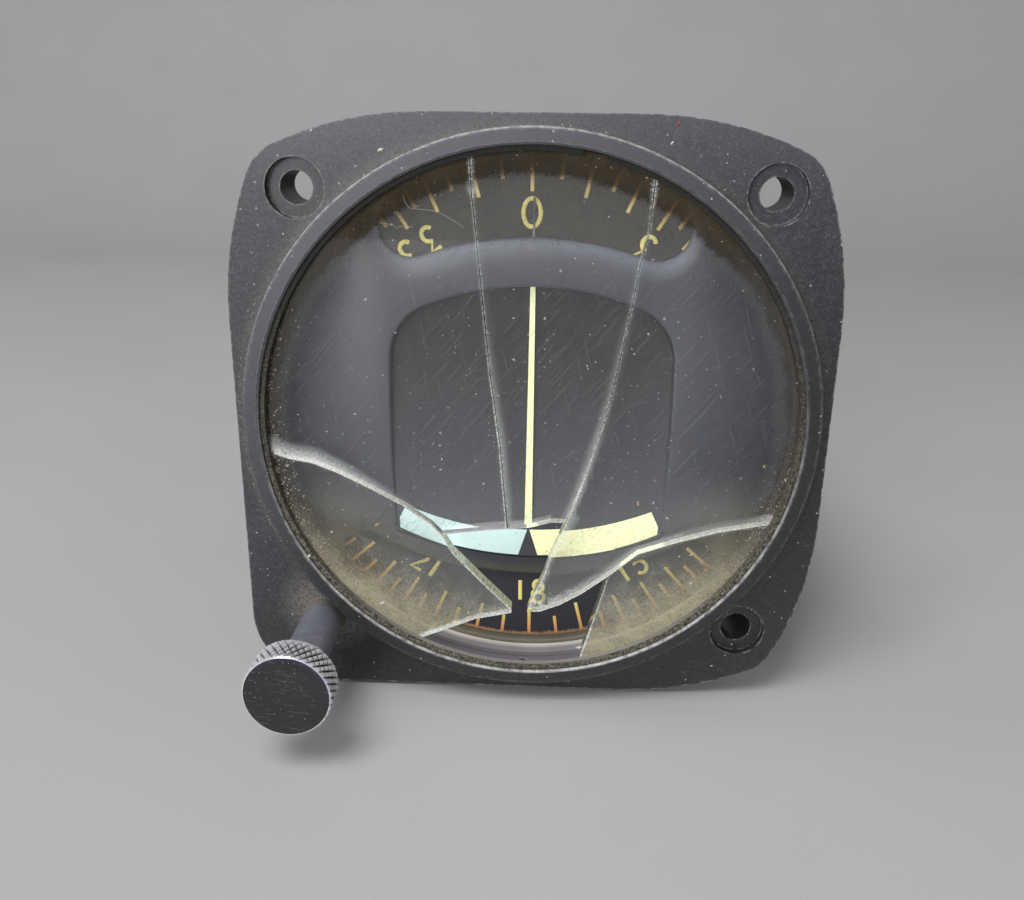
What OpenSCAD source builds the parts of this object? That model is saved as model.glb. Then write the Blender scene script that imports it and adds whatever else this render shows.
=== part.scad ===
// Navigation course indicator for an aircraft instrument panel.
// Millimetres. X is to the viewer's right, Z is up, Y runs back into the case.
// The origin is on the instrument axis, in the plane of the flange's rear face.

/* [Display] */
// Piece to draw, or all of them

/* [Flange and collar] */
// Half the width of the flange across its flat sides
flange_half = 41.5; // [41.3:0.1:42]
// Thickness of the flange casting
flange_t = 8.7; // [8.6:0.1:9.2]
// Radius of the shoulders between the flat sides and the corners
shoulder_r = 50; // [46:1:56]
// Half the length of the flat middle of each side
flat_half = 14; // [12:0.5:16]
// How much lower the top side stands than the left and right sides
top_drop = 0.4; // [0:0.1:0.6]
// Radius of the three screw corners
corner_r = 7; // [6.4:0.1:7.6]
// Half the spacing of the screw holes
hole_half = 31.43; // [31.2:0.01:31.6]
// Screw hole radius
hole_r = 2.2; // [2:0.05:2.4]
// Counterbore radius and depth
cbore_r = 3.95; // [3.6:0.05:4.2]
// Depth of the counterbores
cbore_d = 1.2; // [0.8:0.1:2]
// Height of the round collar in front of the flange
collar_h = 3.9; // [3.6:0.1:4.2]
// Outer radius of the collar
collar_r = 39.5; // [39.3:0.05:39.6]
// Radius of the collar bore
bore_r = 37.3; // [37.25:0.05:37.4]
// Lip in front of the groove of the retaining ring
lip_t = 0.7; // [0.5:0.1:0.8]

/* [Glass and dial] */
// Inner radius of the retaining ring
snap_in_r = 36.6; // [36:0.1:36.6]
// Thickness of the retaining ring
snap_t = 1.2; // [1:0.1:1.3]
// Thickness of the cover glass
glass_t = 2.4; // [2:0.1:2.6]
// Width of the open cracks between the shards
crack_w = 0.12; // [0.08:0.01:0.2]
// Thickness of the rubber seal behind the glass
gasket_t = 0.4; // [0.3:0.1:0.5]
// Thickness of the dial mask
mask_t = 1.3; // [1.1:0.1:1.4]
// Depth of the sloping lips of the windows
lip_d = 0.8; // [0.4:0.1:0.9]
// Width of the sloping lips
lip_w = 3.2; // [2:0.1:3.3]
// Depth of the scooped pocket at its top edge
scoop_d = 2.2; // [2.1:0.1:2.3]
// Outer radius of both dial windows
window_r = 36.1; // [35.9:0.1:36.3]
// Inner radius of the azimuth card
card_in_r = 25.2; // [25.1:0.1:25.4]
// Outer radius of the azimuth card
card_r = 36.2; // [36.1:0.1:36.4]
// Thickness of the azimuth card
card_t = 0.6; // [0.5:0.1:0.6]

/* [Pointer] */
// Height of the pointer pivot above the instrument axis
pivot_z = 21; // [21:0.1:21.2]
// Pointer length from the pivot to the tip
needle_len = 37.7; // [36:0.1:38]
// Pointer width at the tip
needle_w = 1.08; // [0.9:0.02:1.12]
// Pointer width at the pivot
needle_root_w = 0.68; // [0.6:0.02:0.9]
// Pointer thickness
needle_t = 0.3; // [0.25:0.05:0.3]

/* [Course selector] */
// Gear module of the whole train
gear_m = 0.5; // [0.5]
// Teeth on the rim of the card gear
rim_teeth = 145; // [145]
// Teeth of the selector pinion
pinion_teeth = 30; // [30]
// Inside teeth of the card gear
inner_teeth = 108; // [108]
// Teeth of the front idler wheel
idler_teeth = 27; // [27]
// Teeth of the rear idler wheel
idler_small_teeth = 15; // [15]
// Teeth of the resolver gear
resolver_teeth = 60; // [60]
// Angle of the selector shaft below the horizontal
knob_angle = 45.75; // [45.5:0.05:46]
// Knob radius over the knurl
knob_r = 5.96; // [5.8:0.02:6.2]
// Knob length
knob_len = 4.6; // [4.4:0.1:5]
// Distance of the knob face in front of the flange
knob_reach = 21.85; // [20:0.05:24]
// Selector shaft radius
shaft_r = 3; // [2.9:0.05:3.1]
// Knurl diamonds around the knob
knurl_count = 36; // [30:2:40]
// Depth of the knurl grooves
knurl_d = 0.35; // [0.25:0.05:0.4]

/* [Case] */
// Outer radius of the case
case_r = 39.6; // [39.5:0.05:39.65]
// Wall of the case
case_wall = 0.95; // [0.9:0.05:1]
// Length of the case behind the flange
case_len = 88; // [84:1:96]
// Thickness of the rear cover
cover_t = 2.5; // [2:0.1:3]

/* [Hidden] */
$fn = 72;
e = 0.01;
run = 0.03;
front_y = -flange_t;
collar_y = front_y - collar_h;
snap_y = collar_y + lip_t;
glass_y = snap_y + snap_t;
gasket_y = glass_y + glass_t;
spacer_y = gasket_y + gasket_t;
mask_y = -5.3;
mask_back = mask_y + mask_t;
card_y = mask_back + 0.3;
gear_y = card_y + card_t;
gear_back = gear_y + 2;
journal_back = gear_y + 1.3;
ring_back = -0.3;
pocket_low = -21.8;
pocket_top = 18.6;
pocket_bend_x = 11.6;
pocket_bend_z = 8;
ledge_r = 36.95;
spigot_r = case_r - case_wall - 0.05;
seat_r = spigot_r - 1.15;
mid_r = case_r - case_wall - 2.25;
spigot_len = 5;
seal_t = 0.4;
relief_x = 3 * cos(knob_angle);
relief_z = 3 * sin(knob_angle);
cover_r = case_r - 0.2;
plate_t = 1.5;
mid_y = 13.5;
mid_t = 2;
mesh_play = 0.06;
rim_r = gear_m * rim_teeth / 2;
pinion_r = gear_m * pinion_teeth / 2;
inner_r = gear_m * inner_teeth / 2;
idler_r = gear_m * idler_teeth / 2;
idler_small_r = gear_m * idler_small_teeth / 2;
resolver_r = gear_m * resolver_teeth / 2;
knob_dist = rim_r + pinion_r;
knob_x = -knob_dist * cos(knob_angle);
knob_z = -knob_dist * sin(knob_angle);
knob_lobe_r = flange_half + knob_x;
bottom_drop = knob_lobe_r - knob_z - flange_half;
knob_face = front_y - knob_reach;
sleeve_out = 24.35;
sleeve_in = 23.3;
post_r = 2.75;
post_x = (mid_r - 4.44) / sqrt(2);
resolver_z = -14;
resolver_body_r = 13.5;
idler_dist = inner_r - idler_r;
resolver_dist = idler_small_r + resolver_r;
idler_z = (idler_dist * idler_dist - resolver_dist * resolver_dist + resolver_z * resolver_z) / (2 * resolver_z);
idler_x = sqrt(idler_dist * idler_dist - idler_z * idler_z);
to_idler = atan2(idler_z, idler_x);
idler_to_resolver = atan2(resolver_z - idler_z, -idler_x);
flange_top = flange_half - top_drop;
mag_y = 5;
mag_len = 14;

// A flat shape drawn in X and Z, given depth from y0 to y1.
module slab(y0, y1) {
    translate([0, y1, 0]) rotate([90, 0, 0]) linear_extrude(height = y1 - y0) children();
}

// A round bar along Y.
module drum(x, z, y0, y1, r) {
    translate([x, y1, z]) rotate([90, 0, 0]) cylinder(h = y1 - y0, r = r);
}

// A washer or tube along Y.
module tube(x, z, y0, y1, r_in, r_out) {
    difference() {
        drum(x, z, y0, y1, r_out);
        drum(x, z, y0 - 1, y1 + 1, r_in);
    }
}

// A tapered bar along Y, r0 at the front.
module taper(x, z, y0, y1, r0, r1) {
    translate([x, y1, z]) rotate([90, 0, 0]) cylinder(h = y1 - y0, r1 = r1, r2 = r0);
}

// The four places of the posts.
module at_posts() {
    for (sx = [-1, 1], sz = [-1, 1])
        translate([sx * post_x, 0, sz * post_x]) children();
}

// One corner of a tooth: radius r, half width w at that radius, side s.
function tooth_point(r, w, a, s) = [r * cos(a + s * w / r * 57.2958), r * sin(a + s * w / r * 57.2958)];

// Outline of a spur gear with teeth outwards, the first tooth at angle a0.
module spur(teeth, a0) {
    rp = gear_m * teeth / 2;
    half = gear_m * 3.14159 / 4 - mesh_play;
    polygon([for (i = [0 : teeth - 1]) let (a = a0 + i * 360 / teeth)
        each [tooth_point(rp - 1.2 * gear_m, half + 0.4 * gear_m, a, -1),
            tooth_point(rp, half, a, -1),
            tooth_point(rp + 0.95 * gear_m, half - 0.36 * gear_m, a, -1),
            tooth_point(rp + 0.95 * gear_m, half - 0.36 * gear_m, a, 1),
            tooth_point(rp, half, a, 1),
            tooth_point(rp - 1.2 * gear_m, half + 0.4 * gear_m, a, 1)]]);
}

// Outline of the hollow of an internal gear, the first gap at angle a0.
module ring_hollow(teeth, a0) {
    rp = gear_m * teeth / 2;
    half = gear_m * 3.14159 / 4 + mesh_play;
    polygon([for (i = [0 : teeth - 1]) let (a = a0 + i * 360 / teeth)
        each [tooth_point(rp - 0.9 * gear_m, half + 0.32 * gear_m, a, -1),
            tooth_point(rp, half, a, -1),
            tooth_point(rp + 1.2 * gear_m, half - 0.44 * gear_m, a, -1),
            tooth_point(rp + 1.2 * gear_m, half - 0.44 * gear_m, a, 1),
            tooth_point(rp, half, a, 1),
            tooth_point(rp - 0.9 * gear_m, half + 0.32 * gear_m, a, 1)]]);
}

// Flange outline: flat sides with shoulders, three screw corners and the selector lobe.
module flange_outline() {
    low = -flange_half - bottom_drop;
    polygon([
        [flange_half, flat_half], touch_side(1, 1), touch_end(1, 1), [flat_half, flange_top],
        [-flat_half, flange_top], touch_end(-1, 1), touch_side(-1, 1), [-flange_half, flat_half],
        [-flange_half, -flat_half], touch_side(-1, -1), touch_end(-1, -1), [-flat_half, low],
        [flat_half, low], touch_end(1, -1), touch_side(1, -1), [flange_half, -flat_half]
    ]);
    for (sx = [-1, 1], sz = [-1, 1]) {
        translate(corner_centre(sx, sz)) circle(corner_r);
        shoulder(side_centre(sx, sz), [sx * flange_half, sz * flat_half], touch_side(sx, sz));
        shoulder(end_centre(sx, sz), [sx * flat_half, sz > 0 ? flange_top : low], touch_end(sx, sz));
    }
    translate([knob_x, knob_z]) circle(knob_lobe_r);
    translate([-flange_half, knob_z]) square([12, -knob_z]);
    translate([knob_x, low]) square([-knob_x, 12]);
}

// Slice of a shoulder's circle about centre c, from the flat side to the corner.
module shoulder(c, from, to) {
    intersection() {
        translate(c) circle(shoulder_r, $fn = 180);
        polygon([c, c + 1.1 * (from - c), c + 1.1 * (to - c)]);
    }
}

// Centres of the shoulder arcs beside a corner, on its side and on its end.
function side_centre(sx, sz) = [sx * (flange_half - shoulder_r), sz * flat_half];
function end_centre(sx, sz) =
    [sx * flat_half, sz > 0 ? flange_top - shoulder_r : shoulder_r - flange_half - bottom_drop];

// Centre of the corner circle that touches both shoulders.
function corner_centre(sx, sz) =
    let (a = side_centre(sx, sz), b = end_centre(sx, sz), half = norm(b - a) / 2)
    (a + b) / 2 + sqrt(pow(shoulder_r - corner_r, 2) - half * half)
        * [sx * abs(b[1] - a[1]), sz * abs(b[0] - a[0])] / (2 * half);

// Points where a corner circle touches its two shoulders.
function touch_side(sx, sz) =
    let (a = side_centre(sx, sz)) a + (corner_centre(sx, sz) - a) * shoulder_r / (shoulder_r - corner_r);
function touch_end(sx, sz) =
    let (b = end_centre(sx, sz)) b + (corner_centre(sx, sz) - b) * shoulder_r / (shoulder_r - corner_r);

// Kidney window: inner arc about a far centre, outer arc on the axis, round ends.
module kidney(end_angle, end_r, up) {
    far = 21.5;
    arc_r = 46.65;
    cx = (window_r - end_r) * sin(end_angle);
    cz = (window_r - end_r) * cos(end_angle);
    mirror([0, up ? 0 : 1]) {
        intersection() {
            difference() {
                circle(window_r);
                translate([0, -far]) circle(arc_r);
            }
            polygon([[0, -far], [cx, cz], [cx * 1.6, cz * 1.6], [-cx * 1.6, cz * 1.6], [-cx, cz]]);
        }
        for (s = [-1, 1]) translate([s * cx, cz]) circle(end_r);
    }
}

// Sloping lip that leads down to the inner edge and the round ends of a window.
module window_lip(end_angle, end_r, low) {
    cx = (window_r - end_r) * sin(end_angle);
    cz = (window_r - end_r) * cos(end_angle);
    mirror([0, 0, low]) {
        for (s = [-1, 1])
            intersection() {
                taper(s * cx, cz, mask_y - 0.1, mask_y + lip_d, end_r + lip_w * (1 + 0.1 / lip_d), end_r);
                slab(mask_y - 1, mask_back) circle(window_r - 0.1);
            }
        intersection() {
            slab(mask_y - 1, mask_back) polygon([[0, -21.5], [cx, cz], [-cx, cz]]);
            translate([0, mask_y + lip_d, -21.5]) rotate([-90, 0, 0])
                rotate_extrude($fn = 180)
                    polygon([[46.65, 0], [46.65 - lip_w * (1 + 0.1 / lip_d), -lip_d - 0.1], [48, -lip_d - 0.1], [48, 0]]);
        }
    }
}

// Outline of the scooped pocket, grown by g.
module pocket_outline(g) {
    intersection() {
        translate([0, pocket_top - 40]) circle(40 + g);
        translate([19.6 - 350, 0]) circle(350 + g, $fn = 360);
        translate([350 - 19.6, 0]) circle(350 + g, $fn = 360);
        translate([0, pocket_low + 50]) circle(50 + g);
        union() {
            translate([-25, -30]) square([50, 30 + pocket_bend_z]);
            translate([-pocket_bend_x, 0]) square([2 * pocket_bend_x, 25]);
            for (s = [-1, 1]) translate([s * pocket_bend_x, pocket_bend_z]) circle(19.6 - pocket_bend_x + g);
        }
    }
}

// Everything in front of the sloping pocket floor, moved back by d.
module before_floor(d) {
    translate([0, mask_y + d, pocket_low])
        rotate([atan2(scoop_d, pocket_top - pocket_low) * -1, 0, 0])
            translate([-40, -30, -20]) cube([80, 30, 90]);
}

// Die-cast flange with its collar in front and its spigot behind.
module bezel_flange() {
    color("#2e2e33")
    difference() {
        union() {
            slab(front_y, 0) flange_outline();
            drum(0, 0, collar_y + 0.4, front_y + e, collar_r);
            taper(0, 0, collar_y, collar_y + 0.4, collar_r - 0.35, collar_r);
            drum(0, 0, -e, spigot_len, spigot_r);
        }
        drum(0, 0, collar_y - 1, mask_back, bore_r);
        taper(0, 0, collar_y - e, collar_y + 0.3, bore_r + 0.3, bore_r);
        drum(0, 0, snap_y, glass_y, bore_r + 0.8);
        drum(0, 0, mask_back - e, 1, ledge_r);
        drum(0, 0, 0, spigot_len + 1, seat_r);
        tube(0, 0, -seal_t, e, spigot_r, case_r + 0.6);
        drum(knob_x, knob_z, -3.9, spigot_len + 1, pinion_r + 0.8);
        drum(knob_x, knob_z, front_y - 1, 0, shaft_r + run);
        drum(knob_x, knob_z, front_y + 1, 0, 4.4);
        difference() {
            drum(knob_x, knob_z, -0.8, 1, 10.3);
            drum(relief_x, relief_z, -2, 2, case_r + 3.2);
        }
        cover_screw_holes(-3.5, 0.5);
        translate([-0.3, front_y - 0.65, -bore_r - 1.2]) cylinder(h = 2, r = 0.5);
        for (c = [[-1, 1], [1, 1], [1, -1]]) {
            drum(c[0] * hole_half, c[1] * hole_half, front_y - 1, 1, hole_r);
            drum(c[0] * hole_half, c[1] * hole_half, front_y - 1, front_y + cbore_d, cbore_r);
        }
    }
}

// Places of the two small screws of the pinion cover.
module cover_screw_holes(y0, y1) {
    for (s = [-1, 1])
        drum(knob_x + 9.3 * cos(225 + s * 62), knob_z + 9.3 * sin(225 + s * 62), y0, y1, 0.55);
}

// Sprung steel ring that holds the glass in the collar, with its gap at the top.
module retaining_ring() {
    color("#4a4640")
    difference() {
        tube(0, 0, snap_y + 0.05, glass_y, snap_in_r, bore_r + 0.7);
        rotate([0, 12, 0]) translate([-1.6, snap_y - 1, 30]) cube([3.2, 5, 12]);
    }
}

// Cracks seen from the front, as broken lines of x and z.
crack_a = [[-8.2, 35.9], [-8, 31.5], [-7.2, 23.9], [-6.5, 17.4], [-5.5, 7.8], [-4.1, -2.2], [-2.8, -15.3]];
crack_b = [[15.4, 33.1], [14.9, 26], [14.1, 22.9], [13.2, 16.6], [12.2, 11], [11, 4], [9.1, -3],
    [7.1, -9.6], [5.4, -14.3], [3.3, -19.4], [2.4, -22.7], [0.7, -26.7], [0.1, -28.5]];
crack_c = [[-39, -3.9], [-33.8, -5.6], [-30.7, -6.1], [-27.3, -7.4], [-22.4, -9.8], [-17.5, -12.4],
    [-13.8, -15], [-12.4, -16.5], [-10.7, -19.3], [-6.2, -24], [-2.2, -28]];
crack_d = [[0.1, -28.5], [2, -28.4], [4.9, -27.2], [8, -25.3], [11.7, -22.4], [15.9, -18.7],
    [20.8, -16.9], [26.8, -15], [33.7, -13.6], [39, -12.8]];
crack_e = [[11.7, -22.4], [9.9, -29.2], [8, -36]];
edge_top = [[-12.7, -16.2], [-6.2, -15.7], [-3.3, -15.4], [-2.8, -15.3], [0.3, -15], [3.3, -14.1], [5.3, -14.1]];
edge_low = [[-2.1, -28.7], [-7.5, -29.9], [-12, -31.8], [-15.7, -33.4]];

// A crack line moved sideways by dx and dz, its points from first to last.
function moved(line, dx, dz, first, last) =
    [for (i = [first : last > first ? 1 : -1 : last]) [line[i][0] + dx, line[i][1] + dz]];

// Toughened flat cover glass, broken into five shards, with a piece missing at the bottom.
module cover_glass() {
    w = crack_w / 2;
    color("#c9d2cf", 0.35) {
        glass_shard(concat([[-8.3 - w, 60], [-60, 60], [-60, w - 3.9]], moved(crack_c, 0, w, 0, 7),
            moved(edge_top, -w, w, 1, 2), [[-2.9 - w, -15.3]], moved(crack_a, -w, 0, 5, 0)));
        glass_shard(concat([[-8.3 + w, 60]], moved(crack_a, w, 0, 0, 6),
            moved(edge_top, 0, 0, 4, 6), moved(crack_b, -w, 0, 7, 0), [[15.7 - w, 60]]));
        glass_shard(concat([[15.7 + w, 60]], moved(crack_b, w, w, 0, 12),
            moved(crack_d, w, w, 1, 9), [[60, -12.8], [60, 60]]));
        glass_shard(concat(moved(crack_d, w, -w, 4, 9), [[60, -60], [8 + w, -60]],
            moved(crack_e, w, 0, 2, 1)));
        glass_shard(concat([[-60, -3.9 - w]], moved(crack_c, 0, -w, 0, 10),
            moved(edge_low, 0, 0, 0, 3), [[-20, -60], [-60, -60]]));
    }
}

// One shard of the glass disc inside the outline given.
module glass_shard(outline) {
    slab(glass_y + 0.02, gasket_y)
        intersection() {
            circle(bore_r - 0.15);
            polygon(outline);
        }
}

// Thin rubber seal between the glass and its spacer.
module glass_gasket() {
    color("#26262a") tube(0, 0, gasket_y, spacer_y, bore_r - 0.5, bore_r - 0.05);
}

// Thin ring that keeps the glass off the dial mask.
module glass_spacer() {
    color("#5c5c66") tube(0, 0, spacer_y, mask_y, bore_r - 0.5, bore_r - 0.05);
}

// Moulded dial mask with two kidney windows and a scooped pocket for the pointer.
module dial_mask() {
    color("#4a4c55")
    difference() {
        union() {
            drum(0, 0, mask_y, mask_back, bore_r - 0.05);
            intersection() {
                slab(mask_back - 0.3, 0) pocket_outline(0.7);
                before_floor(0.7);
                drum(0, 0, mask_y, 0, sleeve_in - 0.15);
            }
        }
        slab(mask_y - 1, mask_back + 1) kidney(32.2, 4.4, true);
        slab(mask_y - 1, mask_back + 1) kidney(48.5, 3.4, false);
        window_lip(32.2, 4.4, 0);
        window_lip(48.5, 3.4, 1);
        intersection() {
            slab(mask_y - 1, 1) pocket_outline(0);
            before_floor(0);
        }
        translate([-1.9, mask_back + 0.02, 17]) cube([3.8, 4, 2.6]);
    }
}

// Blue and yellow sectors laid on the lower end of the pocket floor.
module course_sectors() {
    color("#b9d6d2") sector_band([[-21.3, -20], [-17.1, -12], [-0.15, -17.6], [-2.2, -24], [-22, -24]]);
    color("#e8ea9f") sector_band([[20.9, -20], [17.05, -12], [0.15, -17.6], [2.2, -24], [22, -24]]);
}

// One thin colour band between two arcs, cut to the outline given.
module sector_band(outline) {
    difference() {
        intersection() {
            slab(mask_y - 1, mask_back)
                intersection() {
                    difference() {
                        translate([0, 28.6]) circle(50.3);
                        translate([0, 28.6]) circle(46.3);
                    }
                    polygon(outline);
                    pocket_outline(-0.1);
                }
            before_floor(0);
        }
        before_floor(-0.1);
    }
}

// Fixed index line in the middle of the upper window, behind the mask.
module lubber_line() {
    color("#d8dcc8") translate([-0.15, mask_back, 23.9]) cube([0.3, 0.14, 6.5]);
}

// Flat ring that carries the printed azimuth scale.
module azimuth_card() {
    color("#232428") tube(0, 0, card_y, gear_y, card_in_r, card_r);
}

// Ring gear under the card: teeth outside for the selector, inside for the resolver.
module card_gear() {
    color("#b08d4a")
    difference() {
        union() {
            slab(gear_y, gear_back) spur(rim_teeth, 180 + knob_angle + 180 / rim_teeth);
            drum(0, 0, gear_back - e, ring_back, 30);
        }
        drum(0, 0, gear_y - 1, 1, sleeve_out + 0.05);
        slab(journal_back, 1) ring_hollow(inner_teeth, to_idler);
    }
}

// Spring ring that keeps the card gear on its sleeve.
module card_keeper() {
    color("#8c8c8c")
    difference() {
        tube(0, 0, card_y, gear_y - 0.2, sleeve_out - 0.4, sleeve_out + 0.6);
        translate([-30, -10, -1.2]) cube([30, 10, 2.4]);
    }
}

// Brass sleeve on which the card gear turns.
module bearing_sleeve() {
    color("#b5964f")
    difference() {
        tube(0, 0, mask_back + 0.1, 0.7, sleeve_in, sleeve_out);
        tube(0, 0, card_y - 0.05, gear_y - 0.15, sleeve_out - 0.45, sleeve_out + 1);
        drum(idler_x, idler_z, journal_back + 0.05, -0.15, idler_r + 0.85);
    }
}

// Front plate of the frame: holds the sleeve, the posts and the pointer movement.
module front_plate() {
    color("#a9adb0")
    difference() {
        drum(0, 0, 0, plate_t, seat_r - 0.05);
        tube(0, 0, -1, 0.7, sleeve_in, sleeve_out);
        drum(0, pivot_z, -1, 3, 1.9);
        drum(idler_x, idler_z, -1, 3, 2.2);
        at_posts() drum(0, 0, -1, 3, 1.4);
        for (s = [-1, 1]) drum(s * 11.45, pivot_z, 0.2, 3, 1);
    }
}

// Threaded ring that holds the front plate in the spigot.
module plate_lock_ring() {
    color("#8f8f92")
    difference() {
        tube(0, 0, plate_t, 3.4, seat_r - 1.65, seat_r - 0.02);
        for (a = [0, 180]) rotate([0, a, 0]) translate([34, 2.4, -1.5]) cube([6, 3, 3]);
    }
}

// Turned aluminium knob with a diamond knurl round its rim.
module obs_knob() {
    color("#b9b9bd")
    difference() {
        union() {
            drum(knob_x, knob_z, knob_face + 0.2, knob_face + knob_len - 0.3, knob_r);
            taper(knob_x, knob_z, knob_face, knob_face + 0.2, knob_r - 0.2, knob_r);
            taper(knob_x, knob_z, knob_face + knob_len - 0.3, knob_face + knob_len, knob_r, knob_r - 0.3);
        }
        knurl_grooves(-32, knurl_d);
        knurl_grooves(32, knurl_d - 0.05);
        drum(knob_x, knob_z, knob_face + 1.4, knob_face + 10, shaft_r);
        translate([knob_x, knob_face + 2.7, knob_z - 8]) cylinder(h = 7, r = 0.9);
    }
}

// V grooves round the knob rim, slanted by an angle; two sets leave the diamonds.
module knurl_grooves(slant, depth) {
    for (i = [0 : knurl_count - 1])
        translate([knob_x, knob_face + knob_len / 2, knob_z]) rotate([0, (i + 0.3) * 360 / knurl_count, 0])
            translate([0, 0, knob_r]) rotate([0, 0, slant]) rotate([0, 45, 0])
                cube([depth * sqrt(2), 9, depth * sqrt(2)], center = true);
}

// Grub screw that locks the knob to its shaft.
module knob_set_screw() {
    color("#6f6f70")
    difference() {
        translate([knob_x, knob_face + 2.7, knob_z - 5.5]) cylinder(h = 2.5, r = 0.88);
        translate([knob_x, knob_face + 2.7, knob_z - 5.6]) cylinder(h = 0.8, r = 0.42, $fn = 6);
    }
}

// Black anodised selector shaft, stepped at the pinion.
module obs_shaft() {
    color("#26262c") {
        drum(knob_x, knob_z, knob_face + 1.4, gear_y, shaft_r);
        drum(knob_x, knob_z, gear_y - e, -0.95, 2);
    }
}

// Bronze bush for the selector shaft in the flange.
module shaft_bushing() {
    color("#a07b3c") tube(knob_x, knob_z, front_y + 1, -3.9, shaft_r + run, 4.4);
}

// Pinion on the selector shaft, turning the rim of the card gear.
module obs_pinion() {
    color("#b08d4a")
    difference() {
        slab(gear_y + 0.05, gear_back) translate([knob_x, knob_z]) spur(pinion_teeth, knob_angle);
        drum(knob_x, knob_z, -5, 1, 2);
    }
}

// Small plate that closes the pinion pocket behind the flange.
module pinion_cover() {
    color("#38383c")
    difference() {
        drum(knob_x, knob_z, -0.8, 0, 10.25);
        drum(relief_x, relief_z, -2, 1, case_r + 3.3);
        cover_screw_holes(-2, 1);
        for (s = [-1, 1])
            taper(knob_x + 9.3 * cos(225 + s * 62), knob_z + 9.3 * sin(225 + s * 62), -0.45, e, 0.55, 0.92);
    }
}

// Two countersunk screws of the pinion cover.
module pinion_cover_screws() {
    color("#7d7d7d") {
        cover_screw_holes(-3.4, -0.4);
        for (s = [-1, 1])
            taper(knob_x + 9.3 * cos(225 + s * 62), knob_z + 9.3 * sin(225 + s * 62), -0.45, 0, 0.55, 0.92);
    }
}

// Idler with a front wheel in the card gear and a rear wheel at the resolver gear.
module idler_cluster() {
    color("#b99a55") {
        slab(journal_back + 0.25, ring_back - 0.05) translate([idler_x, idler_z]) spur(idler_teeth, to_idler);
        slab(3.9, 6.1) translate([idler_x, idler_z]) spur(idler_small_teeth, idler_to_resolver);
        drum(idler_x, idler_z, journal_back + 0.15, mid_y + mid_t - 0.2, 1.2);
        drum(idler_x, idler_z, 2.2, 3.9, 2.2);
        drum(idler_x, idler_z, 6.1, 13.3, 2.2);
    }
}

// Bronze bushes of the idler in the two plates.
module idler_bushings() {
    color("#a07b3c") {
        tube(idler_x, idler_z, 0, 2, 1.2 + run, 2.2);
        tube(idler_x, idler_z, mid_y, mid_y + mid_t, 1.2 + run, 2.2);
    }
}

// Gear on the resolver shaft, turning once for each turn of the card.
module resolver_gear() {
    color("#b08d4a")
    difference() {
        union() {
            slab(4, 6) translate([0, resolver_z]) spur(resolver_teeth, idler_to_resolver + 180 + 3);
            drum(0, resolver_z, 6 - e, 9.8, 3.6);
        }
        drum(0, resolver_z, 3, 11, 1.5);
        translate([0, 8, resolver_z]) cylinder(h = 5, r = 0.7);
        for (i = [0 : 3]) drum(9 * cos(45 + i * 90), resolver_z + 9 * sin(45 + i * 90), 3, 7, 2.6);
    }
}

// Grub screw in the hub of the resolver gear.
module gear_set_screw() {
    color("#6f6f70") translate([0, 8, resolver_z + 1.5]) cylinder(h = 1.9, r = 0.68);
}

// Drum housing of the resolver, with a pilot and a clamping groove in front.
module resolver_case() {
    color("#9a9da0")
    difference() {
        union() {
            drum(0, resolver_z, mid_y + mid_t, 53, resolver_body_r);
            drum(0, resolver_z, mid_y + 0.1, mid_y + mid_t + e, 8.95);
        }
        tube(0, resolver_z, 17.5, 19.5, 12.9, 15);
        drum(0, resolver_z, 20, 50, 12.32);
        drum(0, resolver_z, 17, 20.1, 3.6);
        drum(0, resolver_z, 49.9, 52.2, 3.6);
        drum(0, resolver_z, 10, 18, 1.75);
    }
}

// Laminated stator of the resolver with its winding heads.
module resolver_stator() {
    color("#7a4a2c") {
        tube(0, resolver_z, 22, 48, 8.3, 12.3);
        tube(0, resolver_z, 20.6, 22, 8.6, 11.6);
        tube(0, resolver_z, 48, 49.6, 8.6, 11.6);
    }
}

// Rotor and shaft of the resolver.
module resolver_rotor() {
    color("#6d6f73") {
        drum(0, resolver_z, 3.6, 51.8, 1.5);
        drum(0, resolver_z, 24, 46, 8);
    }
}

// Two bearings of the resolver shaft.
module resolver_bearings() {
    color("#b4b7ba") {
        tube(0, resolver_z, 17.2, 19.8, 1.5 + run, 3.58);
        tube(0, resolver_z, 50.1, 51.9, 1.5 + run, 3.58);
    }
}

// Six solder pins on the back of the resolver.
module resolver_terminals() {
    color("#c2a552")
    for (i = [0 : 5])
        drum(8 * cos(30 + i * 60), resolver_z + 8 * sin(30 + i * 60), 53, 57, 0.6);
}

// Three places of the resolver cleats.
module at_cleats() {
    for (a = [90, 210, 330])
        translate([16.3 * cos(a), 0, resolver_z + 16.3 * sin(a)]) children();
}

// Cleats that reach into the groove of the resolver.
module resolver_cleats() {
    color("#a9adb0")
    at_cleats()
        difference() {
            union() {
                drum(0, 0, mid_y + mid_t, 17.7, 2.65);
                drum(0, 0, 17.7 - e, 19.2, 3.2);
            }
            drum(0, 0, 10, 21, 1.25);
        }
}

// Pan-head screws of the cleats.
module cleat_screws() {
    color("#8d8f91")
    at_cleats() {
        drum(0, 0, mid_y + 0.1, 19.2, 1.22);
        difference() {
            drum(0, 0, 19.2, 20.8, 2.2);
            translate([-3, 20.2, -0.3]) cube([6, 2, 0.6]);
        }
    }
}

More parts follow.
